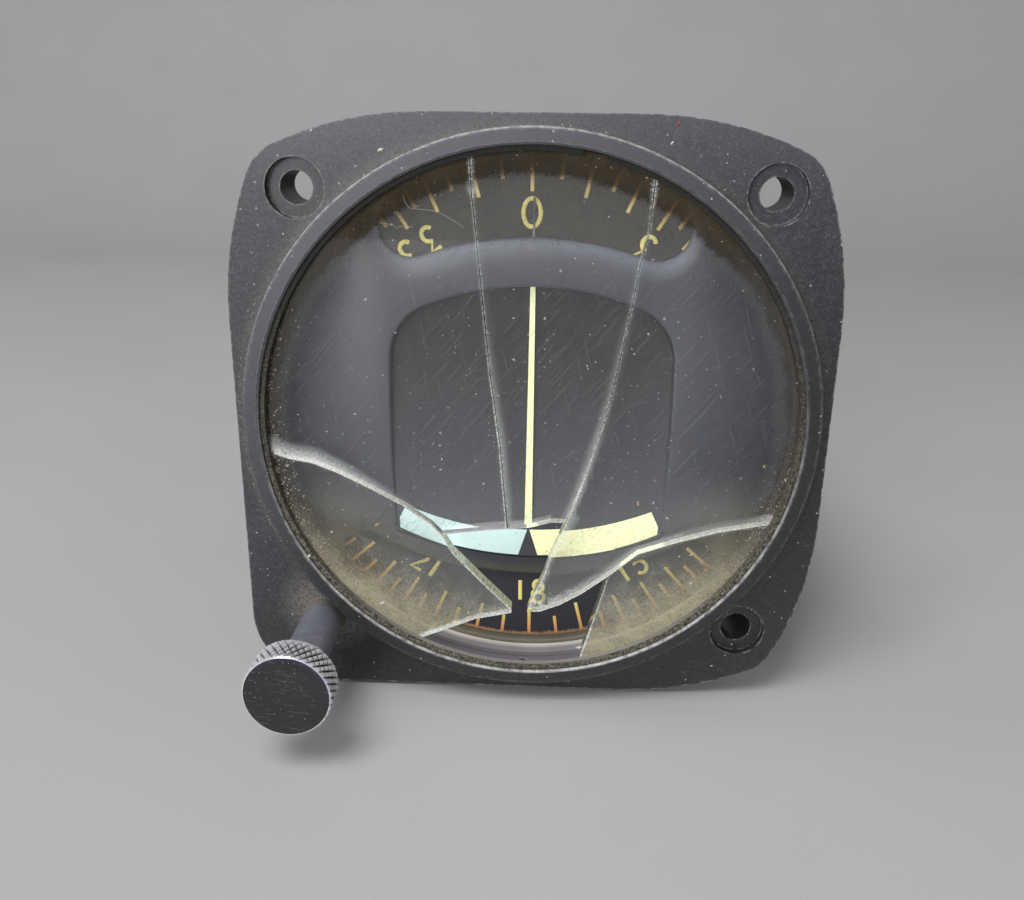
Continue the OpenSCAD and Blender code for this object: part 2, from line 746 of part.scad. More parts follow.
// Middle plate of the frame, carrying the resolver.
module mid_plate() {
    color("#a9adb0")
    difference() {
        drum(0, 0, mid_y, mid_y + mid_t, mid_r);
        drum(0, pivot_z, mid_y - 1, 17, 14.4);
        translate([-30, mid_y - 1, 30]) cube([60, 5, 20]);
        drum(0, resolver_z, mid_y - 1, 17, 9);
        drum(idler_x, idler_z, mid_y - 1, 17, 2.2);
        at_posts() drum(0, 0, mid_y - 1, 17, 1.5);
        at_cleats() drum(0, 0, mid_y - 1, 17, 1.22);
    }
}

// Four short posts between the front and the middle plate.
module front_posts() {
    color("#b7babd")
    at_posts()
        difference() {
            union() {
                drum(0, 0, plate_t, mid_y, post_r);
                drum(0, 0, 0.1, plate_t + e, 1.38);
            }
            drum(0, 0, 6.5, mid_y + 1, 1.45);
        }
}

// Four long posts from the middle plate to the rear cover.
module rear_posts() {
    color("#b7babd")
    at_posts()
        difference() {
            union() {
                drum(0, 0, mid_y + mid_t, case_len, post_r);
                drum(0, 0, 7, mid_y + mid_t + e, 1.44);
            }
            drum(0, 0, case_len - 9, case_len + 1, 1.45);
        }
}

// Ring magnet of the pointer movement, open at the top.
module field_magnet() {
    color("#5d5f63")
    difference() {
        tube(0, pivot_z, mag_y, mag_y + mag_len, 9.5, 13.4);
        translate([-2.5, mag_y - 1, pivot_z]) cube([5, mag_len + 2, 20]);
        for (s = [-1, 1]) drum(s * 11.45, pivot_z, mag_y - 1, mag_y + mag_len + 1, 1.1);
    }
}

// Two soft iron pole pieces inside the magnet.
module pole_pieces() {
    color("#7c7f83")
    slab(mag_y + 1, mag_y + mag_len - 1)
        for (s = [-1, 1])
            translate([0, pivot_z])
                intersection() {
                    difference() {
                        circle(9.5);
                        circle(6.6);
                    }
                    polygon([[0, 0], [s * 12, 15], [s * 12, -15]]);
                }
}

// Soft iron core inside the coil.
module iron_core() {
    color("#84878b") drum(0, pivot_z, mag_y + 2, mag_y + mag_len - 2, 4.9);
}

// Brass block that holds the core off the magnet.
module core_bracket() {
    color("#b5964f")
    slab(mag_y + 4, mag_y + mag_len - 4)
        intersection() {
            translate([0, pivot_z])
                difference() {
                    circle(9.5);
                    circle(4.9);
                }
            translate([-2, pivot_z - 12]) square([4, 10]);
        }
}

// Rectangular coil that turns round the core.
module moving_coil() {
    color("#9c5a2b")
    difference() {
        translate([-6, mag_y + 0.9, pivot_z - 1.8]) cube([12, mag_len - 1.8, 3.6]);
        translate([-5.2, mag_y + 1.5, pivot_z - 3]) cube([10.4, mag_len - 3, 6]);
    }
}

// Front and rear half staffs of the coil, with their collets.
module coil_staff() {
    color("#a9adb0") {
        drum(0, pivot_z, -3.65, mag_y + 0.9, 0.6);
        drum(0, pivot_z, mag_y + mag_len - 0.9, 21.5, 0.6);
        drum(0, pivot_z, 3.95, 4.55, 1.1);
        drum(0, pivot_z, 19.35, 19.95, 1.1);
    }
}

// Flat pointer, leaning forward over the colour sectors.
module course_needle() {
    color("#dfe89a")
    difference() {
        union() {
            drum(0, pivot_z, -3.6, -2.9, 1.8);
            translate([0, -3.45, pivot_z]) rotate([-3, 0, 0])
                translate([0, needle_t / 2, 0]) rotate([90, 0, 0]) linear_extrude(needle_t)
                    polygon([
                        [-needle_root_w / 2, 0], [needle_root_w / 2, 0],
                        [needle_w / 2, -needle_len], [-needle_w / 2, -needle_len]
                    ]);
        }
        drum(0, pivot_z, -5, -1, 0.6);
    }
}

// Cross with three balance weights on the staff.
module balance_weights() {
    color("#b5964f")
    difference() {
        union() {
            translate([-3.4, 4.9, pivot_z - 0.3]) cube([6.8, 0.5, 0.6]);
            translate([-0.3, 4.9, pivot_z]) cube([0.6, 0.5, 3.4]);
            for (p = [[-3.4, 0], [3.4, 0], [0, 3.4]]) drum(p[0], pivot_z + p[1], 4.8, 5.5, 0.7);
            drum(0, pivot_z, 4.9, 5.4, 1.1);
        }
        drum(0, pivot_z, 4, 6, 0.6);
    }
}

// Strap with a foot at each end; y0 is its outer face, y1 its inner face.
module strap(y0, y1, foot0, foot1, hole) {
    difference() {
        union() {
            translate([-11.45, y0, pivot_z - 2.4]) cube([22.9, y1 - y0, 4.8]);
            for (s = [-1, 1]) {
                drum(s * 11.45, pivot_z, y0, y1, 2.4);
                drum(s * 11.45, pivot_z, foot0, foot1, 1.9);
            }
        }
        drum(0, pivot_z, y0 - 1, y1 + 1, hole);
        for (s = [-1, 1]) drum(s * 11.45, pivot_z, y0 - 3, y1 + 3, 1.1);
    }
}

// Front bridge of the movement, on the back of the front plate.
module front_bridge() {
    color("#b5964f") strap(plate_t, 3, 3 - e, mag_y, 1.25);
}

// Rear bridge of the movement.
module rear_bridge() {
    color("#b5964f") strap(20.6, 22.2, mag_y + mag_len, 20.6 + e, 1.5);
}

// Ring jewel in the front bridge and jewel screw in the rear bridge.
module jewel_bearings() {
    color("#a8324a") {
        tube(0, pivot_z, 1.7, 2.9, 0.6 + run, 1.25);
        difference() {
            drum(0, pivot_z, 20.7, 23.2, 1.5);
            drum(0, pivot_z, 20, 21.7, 0.6 + run);
            translate([-2, 22.8, pivot_z - 0.2]) cube([4, 1, 0.4]);
        }
    }
}

spring_r0 = 1.3;
spring_pitch = 1.05;
spring_turns = 3;
spring_t = 0.25;
spring_gap = spring_pitch - spring_t;
echo(spring_gap = spring_gap);

// A flat hair spring at height y, wound to the left or to the right.
module hair_spring(y, side) {
    steps = spring_turns * 20;
    slab(y, y + 0.35)
        translate([0, pivot_z]) scale([side, 1])
            polygon(concat(
                [for (i = [0 : steps]) let (r = spring_r0 + spring_pitch * i / 20)
                    [r * cos(i * 18), r * sin(i * 18)]],
                [for (i = [steps : -1 : 0]) let (r = spring_r0 + spring_t + spring_pitch * i / 20)
                    [r * cos(i * 18), r * sin(i * 18)]]));
}

// Two hair springs that lead the current in and centre the pointer.
module hair_springs() {
    color("#c08a3e") {
        hair_spring(4.05, 1);
        hair_spring(19.45, -1);
    }
}

// Lever that carries the end of the front spring and sets the zero.
module zero_lever() {
    color("#b5964f")
    difference() {
        union() {
            drum(0, pivot_z, 3, 3.5, 2.6);
            translate([0, 3, pivot_z - 0.8]) cube([5.6, 0.5, 1.6]);
            drum(5.3, pivot_z, 3, 4.4, 0.7);
            translate([-0.6, 3, pivot_z]) cube([1.2, 0.5, 7]);
        }
        drum(0, pivot_z, 2, 5, 1.4);
    }
}

// Two long screws that hold the movement to the front plate.
module bridge_screws() {
    color("#8d8f91")
    for (s = [-1, 1]) {
        drum(s * 11.45, pivot_z, 0.75, 22.2, 0.98);
        difference() {
            drum(s * 11.45, pivot_z, 22.2, 23.6, 2);
            translate([s * 11.45 - 3, 23.1, pivot_z - 0.25]) cube([6, 2, 0.5]);
        }
    }
}

// Drawn aluminium case.
module case_body() {
    color("#2a2a2e") tube(0, 0, 0, case_len, case_r - case_wall, case_r);
}

// Rubber ring in the groove of the flange, under the edge of the case.
module case_seal() {
    color("#1d1d1f")
    difference() {
        tube(0, 0, -seal_t, 0, case_r - case_wall, case_r - case_wall + 0.45);
        drum(knob_x, knob_z, -2, 1, pinion_r + 0.8);
    }
}

// Rear cover with its spigot, the connector opening and four screw holes.
module rear_cover() {
    color("#2c2c30")
    difference() {
        union() {
            drum(0, 0, case_len, case_len + cover_t - 0.5, cover_r);
            taper(0, 0, case_len + cover_t - 0.5, case_len + cover_t, cover_r, cover_r - 0.5);
            tube(0, 0, case_len - 3, case_len + e, spigot_r - 2, spigot_r);
        }
        drum(0, 0, case_len - 1, case_len + 5, 9);
        at_posts() drum(0, 0, case_len - 1, case_len + 5, 1.6);
        for (sx = [-1, 1], sz = [-1, 1]) drum(sx * 9.8, sz * 9.8, case_len - 1, case_len + 5, 1.22);
    }
}

// Four pan-head screws that pull the cover and the case against the flange.
module cover_screws() {
    color("#8d8f91")
    at_posts() {
        drum(0, 0, case_len - 8, case_len + cover_t, 1.43);
        difference() {
            union() {
                drum(0, 0, case_len + cover_t, case_len + cover_t + 1.3, 2.9);
                taper(0, 0, case_len + cover_t + 1.3, case_len + cover_t + 1.9, 2.9, 2.2);
            }
            translate([-4, case_len + cover_t + 1, -0.4]) cube([8, 3, 0.8]);
        }
    }
}

// Round receptacle of the connector with a square flange.
module connector_shell() {
    y0 = case_len + cover_t;
    color("#8a8c86")
    difference() {
        union() {
            slab(y0, y0 + 2) square(25, center = true);
            drum(0, 0, y0 + 1, y0 + 10.5, 9.5);
            drum(0, 0, y0 - 5, y0 + 1, 8.95);
        }
        drum(0, 0, y0 - 6, y0 + 12, 8);
        for (sx = [-1, 1], sz = [-1, 1]) drum(sx * 9.8, sz * 9.8, y0 - 1, y0 + 3, 1.3);
        translate([-0.8, y0 + 3, 7]) cube([1.6, 9, 1.6]);
    }
}

// Black insulator of the connector.
module connector_insert() {
    y0 = case_len + cover_t;
    color("#1b1b1d")
    difference() {
        drum(0, 0, y0 - 4, y0 + 3.5, 8);
        for (i = [0 : 6])
            drum(5 * cos(i * 360 / 7), 5 * sin(i * 360 / 7), y0 - 5, y0 + 5, 0.5);
        drum(0, 0, y0 - 5, y0 + 5, 0.5);
    }
}

// Eight contact pins.
module connector_pins() {
    y0 = case_len + cover_t;
    color("#c9a94e") {
        drum(0, 0, y0 - 7, y0 + 8.5, 0.5);
        for (i = [0 : 6])
            drum(5 * cos(i * 360 / 7), 5 * sin(i * 360 / 7), y0 - 7, y0 + 8.5, 0.5);
    }
}

// Four small screws of the connector flange.
module connector_screws() {
    y0 = case_len + cover_t;
    color("#8d8f91")
    for (sx = [-1, 1], sz = [-1, 1]) {
        drum(sx * 9.8, sz * 9.8, y0 - 2.4, y0 + 2, 1.2);
        difference() {
            drum(sx * 9.8, sz * 9.8, y0 + 2, y0 + 3.3, 2.1);
            translate([sx * 9.8 - 3, y0 + 2.8, sz * 9.8 - 0.3]) cube([6, 2, 0.6]);
        }
    }
}

bezel_flange();
retaining_ring();
cover_glass();
glass_gasket();
glass_spacer();
dial_mask();
course_sectors();
lubber_line();
azimuth_card();
card_gear();
card_keeper();
bearing_sleeve();
front_plate();
plate_lock_ring();
obs_knob();
knob_set_screw();
obs_shaft();
shaft_bushing();
obs_pinion();
pinion_cover();
pinion_cover_screws();
idler_cluster();
idler_bushings();
resolver_gear();
gear_set_screw();
resolver_case();
resolver_stator();
resolver_rotor();
resolver_bearings();
resolver_terminals();
resolver_cleats();
cleat_screws();
mid_plate();
front_posts();
rear_posts();
field_magnet();
pole_pieces();
iron_core();
core_bracket();
moving_coil();
coil_staff();
course_needle();
balance_weights();
front_bridge();
rear_bridge();
jewel_bearings();
hair_springs();
zero_lever();
bridge_screws();
case_body();
case_seal();
rear_cover();
cover_screws();
connector_shell();
connector_insert();
connector_pins();
connector_screws();
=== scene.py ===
import math

import bmesh
import bpy
from mathutils import Matrix, Vector, kdtree


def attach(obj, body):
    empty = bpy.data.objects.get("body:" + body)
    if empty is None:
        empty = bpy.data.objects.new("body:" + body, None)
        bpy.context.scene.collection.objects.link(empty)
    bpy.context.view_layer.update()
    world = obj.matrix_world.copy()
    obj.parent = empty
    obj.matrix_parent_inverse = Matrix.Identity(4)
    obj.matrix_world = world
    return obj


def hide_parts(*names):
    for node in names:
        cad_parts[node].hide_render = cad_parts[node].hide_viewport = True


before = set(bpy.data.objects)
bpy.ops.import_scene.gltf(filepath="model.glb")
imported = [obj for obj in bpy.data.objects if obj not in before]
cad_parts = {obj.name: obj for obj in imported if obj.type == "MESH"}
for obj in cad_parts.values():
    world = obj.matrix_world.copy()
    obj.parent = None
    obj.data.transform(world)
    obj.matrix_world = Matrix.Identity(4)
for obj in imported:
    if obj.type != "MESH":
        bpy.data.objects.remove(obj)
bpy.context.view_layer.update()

scene = bpy.context.scene
scene.view_settings.view_transform = "Standard"
MM = 0.001


# Camera.
# The camera looks down on the dial from close in front, a little to its right.
def put(name, data):
    """An object in the scene that shows the data."""
    item = bpy.data.objects.new(name, data)
    scene.collection.objects.link(item)
    return item


sensor_width, focal_pixels, picture_pixels = 36.0, 955.65, 1024
camera_place = Vector((3.0, -136.76, 39.04)) * MM
camera_yaw = -0.0424
camera_pitch = 0.3239
camera_roll = 0.0128
ahead = Vector((
    math.sin(camera_yaw) * math.cos(camera_pitch),
    math.cos(camera_yaw) * math.cos(camera_pitch),
    -math.sin(camera_pitch),
))
level = Vector((math.cos(camera_yaw), -math.sin(camera_yaw), 0.0))
above = level.cross(ahead)
side = level * math.cos(camera_roll) + above * math.sin(camera_roll)
above = above * math.cos(camera_roll) - level * math.sin(camera_roll)
camera = put("camera", bpy.data.cameras.new("camera"))
camera.data.sensor_width = sensor_width
camera.data.lens = sensor_width * focal_pixels / picture_pixels
camera.data.clip_start = 10.0 * MM
turn = Matrix((side, above, -ahead)).transposed().to_4x4()
camera.matrix_world = Matrix.Translation(camera_place) @ turn
scene.camera = camera


# Floor and light.
# A pale sweep of painted board under and behind the instrument, which stands on the
# low edge of its flange and on the low edge of its case.
def paint(code):
    """A colour written as sRGB hex, as linear numbers."""
    parts = [int(code[i:i + 2], 16) / 255 for i in (1, 3, 5)]
    linear = [p / 12.92 if p <= 0.04045 else ((p + 0.055) / 1.055) ** 2.4 for p in parts]
    return (*linear, 1.0)


def fill(node, *inputs, **named):
    """Joins or sets a node's inputs, in order or by name; a colour may be its sRGB hex."""
    pairs = list(zip((socket for socket in node.inputs if socket.enabled), inputs))
    pairs += [(node.inputs[name.replace("_", " ")], value) for name, value in named.items()]
    for socket, value in pairs:
        if isinstance(value, bpy.types.NodeSocket):
            socket.id_data.links.new(value, socket)
        else:
            socket.default_value = paint(value) if isinstance(value, str) else value


def add(tree, kind, *inputs, **more):
    """Adds a node with its inputs and settings, and returns its first output.

    A kind in capitals is a sum of the Math node. Names of inputs begin with a capital.
    """
    if kind.isupper():
        kind, more["operation"] = "Math", kind
    node = tree.nodes.new(kind if "Node" in kind else "ShaderNode" + kind)
    for name in [name for name in more if name[0].islower()]:
        setattr(node, name, more.pop(name))
    fill(node, *inputs, **more)
    return next((socket for socket in node.outputs if socket.enabled), None)


def layered(tree, shade, *coats):
    """Lays colours over one another, each as far as its mask covers."""
    for mask, colour in coats:
        shade = add(tree, "Mix", mask, shade, colour, data_type="RGBA")
    return shade


def new_finish(name):
    """An empty material with its shader, and the place on the object in millimetres."""
    material = bpy.data.materials.new(name)
    material.use_nodes = True
    tree = material.node_tree
    tree.nodes.clear()
    shader = add(tree, "BsdfPrincipled").node
    add(tree, "OutputMaterial", shader.outputs[0])
    place = add(tree, "TexCoord").node.outputs["Object"]
    place = add(tree, "VectorMath", place, 1000.0, operation="SCALE")
    return material, tree, place, shader


def new_piece(name, points, faces, smooth=False):
    """A mesh object from points in millimetres."""
    mesh = bpy.data.meshes.new(name)
    mesh.from_pydata([Vector(p) * MM for p in points], [], faces)
    mesh.validate()
    mesh.shade_smooth() if smooth else mesh.shade_flat()
    return put(name, mesh)


floor_drop = 42.56
floor_slope = 2.95 / 88
floor_start, floor_end, floor_half, wall_height = -900.0, 700.0, 1500.0, 900.0
sweep, sweep_steps = 300.0, 24
profile = [(floor_start, -floor_drop + floor_start * floor_slope)]
for step in range(sweep_steps + 1):
    angle = math.radians(90) * step / sweep_steps
    y = floor_end - sweep + sweep * math.sin(angle)
    rise = sweep * (1 - math.cos(angle))
    profile.append((y, -floor_drop + (floor_end - sweep) * floor_slope + rise))
profile.append((floor_end, wall_height))
points = [(x, y, z) for y, z in profile for x in (-floor_half, floor_half)]
faces = [(2 * i, 2 * i + 1, 2 * i + 3, 2 * i + 2) for i in range(len(profile) - 1)]
floor = new_piece("floor", points, faces, smooth=True)
finish, tree, place, shader = new_finish("pale_board")
grain = add(tree, "TexNoise", place, 0.02, 3.0)
# Towards the viewer the board is painted a deeper grey, which the glass mirrors.
near = add(tree, "SeparateXYZ", place).node.outputs[1]
near = add(tree, "MapRange", near, -70.0, -140.0, interpolation_type="SMOOTHSTEP")
colour = layered(tree, "#b9b9ba", (grain, "#c1c1c1"), (near, "#88888b"))
fill(shader, colour, Roughness=0.85)
floor.data.materials.append(finish)

world = bpy.data.worlds.new("room")
scene.world = world
world.use_nodes = True
fill(world.node_tree.nodes["Background"], "#e3e6ea", 0.3)
for name, spot, size, watts in (
    ("overhead_soft", (-0.24, -0.42, 0.80), 0.45, 5.4),
    ("front_soft", (-0.30, -0.88, 0.22), 0.42, 4.3),
):
    lamp = put(name, bpy.data.lights.new(name, "AREA"))
    lamp.data.shape = "SQUARE"
    lamp.data.size = size
    lamp.data.energy = watts
    lamp.location = spot
    lamp.rotation_mode = "QUATERNION"
    lamp.rotation_quaternion = (-Vector(spot)).to_track_quat("-Z", "Y")


# Flange.
# Die-cast light alloy, machined in the bore and the collar and sprayed satin black.
# The edges are broken by tumbling before the paint, and long use has dusted it brown.
def dress(finish, *nodes):
    """Gives CAD nodes a finish."""
    for name in nodes:
        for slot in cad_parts[name].material_slots:
            slot.material = finish


def copy_of(node, name):
    """A copy of a CAD node, with the faces that its triangles stand for."""
    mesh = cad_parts[node].data.copy()
    mesh.name = name
    form = bmesh.new()
    form.from_mesh(mesh)
    bmesh.ops.remove_doubles(form, verts=form.verts, dist=0.002 * MM)
    flat_angle = math.radians(0.6)
    bmesh.ops.dissolve_limit(form, angle_limit=flat_angle, verts=form.verts, edges=form.edges)
    form.to_mesh(mesh)
    form.free()
    return put(name, mesh)


def result_of(piece, name):
    """The mesh that a piece comes to with its modifiers or its pen."""
    shown = piece.evaluated_get(bpy.context.evaluated_depsgraph_get())
    mesh = bpy.data.meshes.new_from_object(shown)
    mesh.name = name
    return mesh


def settle(piece):
    """Applies a piece's modifiers."""
    mesh = result_of(piece, piece.name)
    piece.modifiers.clear()
    piece.data = mesh
    return piece


def mask_of(tree, *parts):
    """Masks multiplied together; one in brackets is a ramp over a value."""
    mask = None
    for part in parts:
        part = add(tree, "MapRange", *part) if isinstance(part, tuple) else part
        mask = add(tree, "MULTIPLY", mask, part) if mask is not None else part
    return mask


def hairlines(tree, place, turn, long, fine, low, high):
    """Straight scratches that run at an angle, long and fine in millimetres, as 0 to 1."""
    turned = add(
        tree, "Mapping", place, Rotation=(0.0, math.radians(turn), 0.0),
        Scale=(long, 4.0, fine), vector_type="TEXTURE",
    )
    lines = add(tree, "TexNoise", turned, 1.0, 1.0)
    return add(tree, "MapRange", lines, low, high)


def flecks(tree, place, per_mm, share, biggest, flat=True):
    """Round specks: a share of the cells holds one, up to the biggest radius in millimetres."""
    if flat:
        axes = add(tree, "SeparateXYZ", place).node.outputs
        place = add(tree, "CombineXYZ", axes[0], axes[2])
    space = "2D" if flat else "3D"
    cells = add(tree, "TexVoronoi", place, per_mm, voronoi_dimensions=space).node.outputs
    chance = add(tree, "SeparateColor", cells["Color"]).node.outputs
    reach = add(tree, "MULTIPLY", chance[1], biggest * per_mm)
    inside = add(tree, "LESS_THAN", cells["Distance"], reach)
    chosen = add(tree, "LESS_THAN", chance[0], share)
    return add(tree, "MULTIPLY", inside, chosen)


def axis_radius(tree, place, x=0.0, z=0.0):
    """Distance from an axis that runs front to back through x and z."""
    moved = add(tree, "VectorMath", place, (-x, 0.0, -z), operation="ADD")
    flat = add(tree, "VectorMath", moved, (1.0, 0.0, 1.0), operation="MULTIPLY")
    return add(tree, "VectorMath", flat, operation="LENGTH")


def edge_match(tree, width):
    """1 on flat ground, less within a width of an edge."""
    rounded = add(tree, "Bevel", width * MM, samples=4)
    straight = add(tree, "NewGeometry").node.outputs["Normal"]
    return add(tree, "VectorMath", rounded, straight, operation="DOT_PRODUCT")


edge_round, edge_angle = 0.3, math.radians(28.0)
knob_x, knob_z = -30.528, -31.338
flange = copy_of("bezel_flange", "flange_casting")
flange.data.shade_smooth()
bevel = flange.modifiers.new("broken_edges", "BEVEL")
bevel.width = edge_round * MM
bevel.segments = 2
bevel.limit_method = "ANGLE"
bevel.angle_limit = edge_angle
bevel.miter_outer = "MITER_ARC"
flange.modifiers.new("even_shading", "WEIGHTED_NORMAL").keep_sharp = True
settle(flange)
finish, tree, place, shader = new_finish("satin_black_spray_on_die_casting")
# Paint film 40 microns thick: its orange peel is drawn at 0.4 mm so that it shows.
patches = add(tree, "TexNoise", place, 0.09, 4.0)
grime = add(tree, "TexNoise", place, 0.9, 8.0, 0.7)
stains = add(tree, "TexNoise", place, 0.3, 6.0, 0.7)
peel = add(tree, "TexNoise", place, 2.6, 5.0, 0.65)
radius = axis_radius(tree, place)
axes = add(tree, "SeparateXYZ", place).node.outputs
stained = add(tree, "MapRange", stains, 0.5, 0.68, 0.0, 0.55)
on_collar = add(tree, "MapRange", axes[1], -9.4, -9.9, 0.0, 0.85)
# Fine dry dust makes the paint look salted.
salt = add(tree, "TexNoise", place, 5.0, 3.0, 0.85)
bare = add(tree, "MapRange", on_collar, 0.0, 1.0, 1.0, 0.35)
salt = mask_of(tree, (salt, 0.5, 0.68), (grime, 0.35, 0.65, 0.12, 0.6), bare)
# Painted sheen and shade: the paint is painted paler grey towards the top and the left and on the
# upper collar, where the light falls, and blacker to the right and below, where shade falls.
turned = add(tree, "VectorMath", place, (-0.5, 0.0, 0.87), operation="DOT_PRODUCT")
painted_shade_low_right = add(tree, "MapRange", turned, 6.0, -15.0, 0.0, 0.6)
painted_sheen_top_left = add(tree, "MapRange", axes[2], 30.0, 41.0, 0.0, 0.22)
painted_sheen_on_collar = mask_of(tree, (turned, 0.0, 35.0, 0.0, 0.32), on_collar)
painted_sheen_top_left = add(tree, "MAXIMUM", painted_sheen_top_left, painted_sheen_on_collar)
# Beige dust lies thickest at the foot of the collar, on the low left and round the shaft.
foot = add(tree, "MapRange", radius, 42.3, 39.4)
foot = add(tree, "POWER", foot, 1.6)
reach = mask_of(tree, foot, (axes[0], 12.0, -25.0, 0.4))
by_shaft = axis_radius(tree, place, knob_x + 0.8, knob_z + 2.0)
by_shaft = add(tree, "MapRange", by_shaft, 8.0, 3.0, 0.0, 1.2)
reach = add(tree, "MAXIMUM", reach, by_shaft)
uncovered = add(tree, "MapRange", axes[1], -10.0, -9.2)
reach = mask_of(tree, reach, (axes[1], -7.0, -8.6, 0.2))
reach = add(tree, "MULTIPLY_ADD", reach, uncovered, 0.07)
dust = add(tree, "TexNoise", place, 2.2, 7.0, 0.8)
dust = add(tree, "MapRange", dust, 0.38, 0.58, 0.0, 1.1)
dust = add(tree, "MULTIPLY", dust, reach, use_clamp=True)
# The bare wall of the bore, seen where the glass is missing.
bore_r = 37.45
bore = mask_of(tree, add(tree, "LESS_THAN", radius, bore_r), (axes[1], -11.2, -10.9))
# Edges rubbed through here and there to a paler skin.
where = add(tree, "TexNoise", place, 0.8, 8.0, 0.8)
rub = mask_of(tree, (edge_match(tree, 0.35), 0.99, 0.93), (where, 0.46, 0.6), bare)
# Painted highlight: the outer corner of the collar is painted bright along the top, and its inner
# corner along the foot, where the light catches them.
outer_edge_highlight = mask_of(tree, (radius, 39.16, 39.36), (axes[2], 0.0, 32.0, 0.04, 0.8))
inner_edge_highlight = mask_of(tree, (radius, 37.6, 37.46), (axes[2], 8.0, -30.0, 0.1, 1.0))
collar_edge_highlight = add(tree, "MAXIMUM", outer_edge_highlight, inner_edge_highlight)
collar_edge_highlight = mask_of(tree, collar_edge_highlight, (axes[1], -12.05, -12.2))
broken_line = add(tree, "MapRange", grime, 0.38, 0.58, 0.3, 1.15)
collar_edge_highlight = add(tree, "MULTIPLY", collar_edge_highlight, broken_line, use_clamp=True)
# The rubbed edges also take the painted highlight on the corners of the collar.
rub = add(tree, "MAXIMUM", rub, collar_edge_highlight)
scratched = hairlines(tree, place, 35.0, 4.0, 0.10, 0.72, 0.78)
crossed = hairlines(tree, place, -20.0, 3.0, 0.10, 0.73, 0.79)
scratched = add(tree, "MAXIMUM", scratched, crossed)
scratched = add(tree, "MULTIPLY", scratched, 0.35)
chips = flecks(tree, place, 0.9, 0.12, 0.14)
# The coats include the painted sheen at the top and left, the painted shade to the right and
# below, and the painted highlight on the collar's corners.
shade = layered(
    tree, "#37373e", (patches, "#2b2a30"), (stained, "#3f393d"), (on_collar, "#2f3035"),
    (salt, "#8e8c91"), (painted_shade_low_right, "#101012"), (painted_sheen_top_left, "#838290"), (dust, "#74706a"),
    (bore, "#77757a"), (rub, "#b4b3b0"), (scratched, "#8c8888"), (chips, "#a5a2a0"),
)
rough = add(tree, "MapRange", grime, 0.3, 0.7, 0.36, 0.5)
relief = add(tree, "Bump", Height=peel, Strength=0.35, Distance=0.05 * MM)
fill(shader, shade, Roughness=rough, Normal=relief)
flange.data.materials.clear()
flange.data.materials.append(finish)
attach(flange, "frame")
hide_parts("bezel_flange")
dress(finish, "pinion_cover")

# Retaining ring.
# Spring steel ring sprung into the groove of the collar. Black oil and pale dirt hide most of the
# steel; the dirt is laid mainly on the low half, so that the top stays dark as a painted shade
# under the lip of the collar.
finish, tree, place, shader = new_finish("dirty_spring_steel")
crumbs = add(tree, "TexNoise", place, 2.6, 9.0, 0.85)
clumps = add(tree, "TexNoise", place, 0.35, 3.0)
axes = add(tree, "SeparateXYZ", place).node.outputs
# Painted shade: the dirt fades out towards the top, leaving it dark.
dirt = mask_of(tree, (crumbs, 0.46, 0.58), (axes[2], 22.0, -20.0, 0.04, 0.95))
# Painted highlight: the inner wall is painted pale at the foot, where it faces up into the light.
inner_wall_highlight = mask_of(tree, (axes[1], -11.75, -11.5), (axes[2], -22.0, -34.0))
shade = layered(tree, "#1c1c1b", (clumps, "#302e2a"), (dirt, "#99917f"), (inner_wall_highlight, "#9a9492"))
relief = add(tree, "Bump", Height=crumbs, Strength=0.8, Distance=0.25 * MM)
fill(shader, shade, Roughness=0.7, Normal=relief)
dress(finish, "retaining_ring")


# Glass.
# Flat plate glass, cut round and ground at the edge, now broken into five shards. The broken faces
# are hackled and scatter light, and an olive film of dust lies on it near the rim; along the top
# the film is drawn dark brown, as dust and painted shade under the collar.
def between(value, low, high):
    """0 at low, 1 at high."""
    return max(0.0, min(1.0, (value - low) / (high - low)))


def breakage(shard, x, z):
    """Near one place of a crack: front line, haze beside it, its width, and the crushed face."""
    if shard in ("left", "middle") and abs(z + 15.7) < 1.0 and -13.2 < x < 4.8:
        return 0.42, 0.04, 0.5, 0.04
    if shard == "left" and z < -3.0:
        left = between(-x, 13.0, 30.0)
        return 0.75 + 0.2 * left, 0.12 + 0.75 * left, 0.7 + 2.2 * left, 0.2 + 0.9 * left
    if shard == "left":
        lower = between(-z, -12.0, 2.0)
        return 0.3 + 0.6 * lower, 0.08, 0.5, 0.07 + 0.13 * lower
    if shard == "middle":
        hazy, crushed = between(-z, -16.0, 2.0), between(-z, -2.0, 12.0)
        return 0.34, 0.08 + 0.2 * hazy, 1.3, 0.07 + 0.35 * crushed
    if shard == "right" and (z < -12.5 and x > 4.0 or z < -28.0):
        return 0.95, 0.4, 2.1, 0.55
    if shard == "right":
        lower = between(-z, -4.0, 10.0)
        return 0.3 + 0.65 * lower, 0.10 + 0.4 * lower, 0.8, 0.1 + 0.8 * lower
    if shard == "low_left" and z < -28.2 - 0.05 * x:
        return 0.9, 0.3, 0.9, 0.45
    if shard == "low_left":
        right = between(x, -18.0, -12.0)
        return 0.1 + 0.8 * right, 0.06, 0.5, 0.3 + 0.55 * right
    return (0.6, 0.06, 0.5, 0.14) if z < -22.4 and x < 12.0 else (0.12, 0.05, 0.5, 0.12)


shards = copy_of("cover_glass", "glass_shards")
mesh = shards.data
form = bmesh.new()
form.from_mesh(mesh)
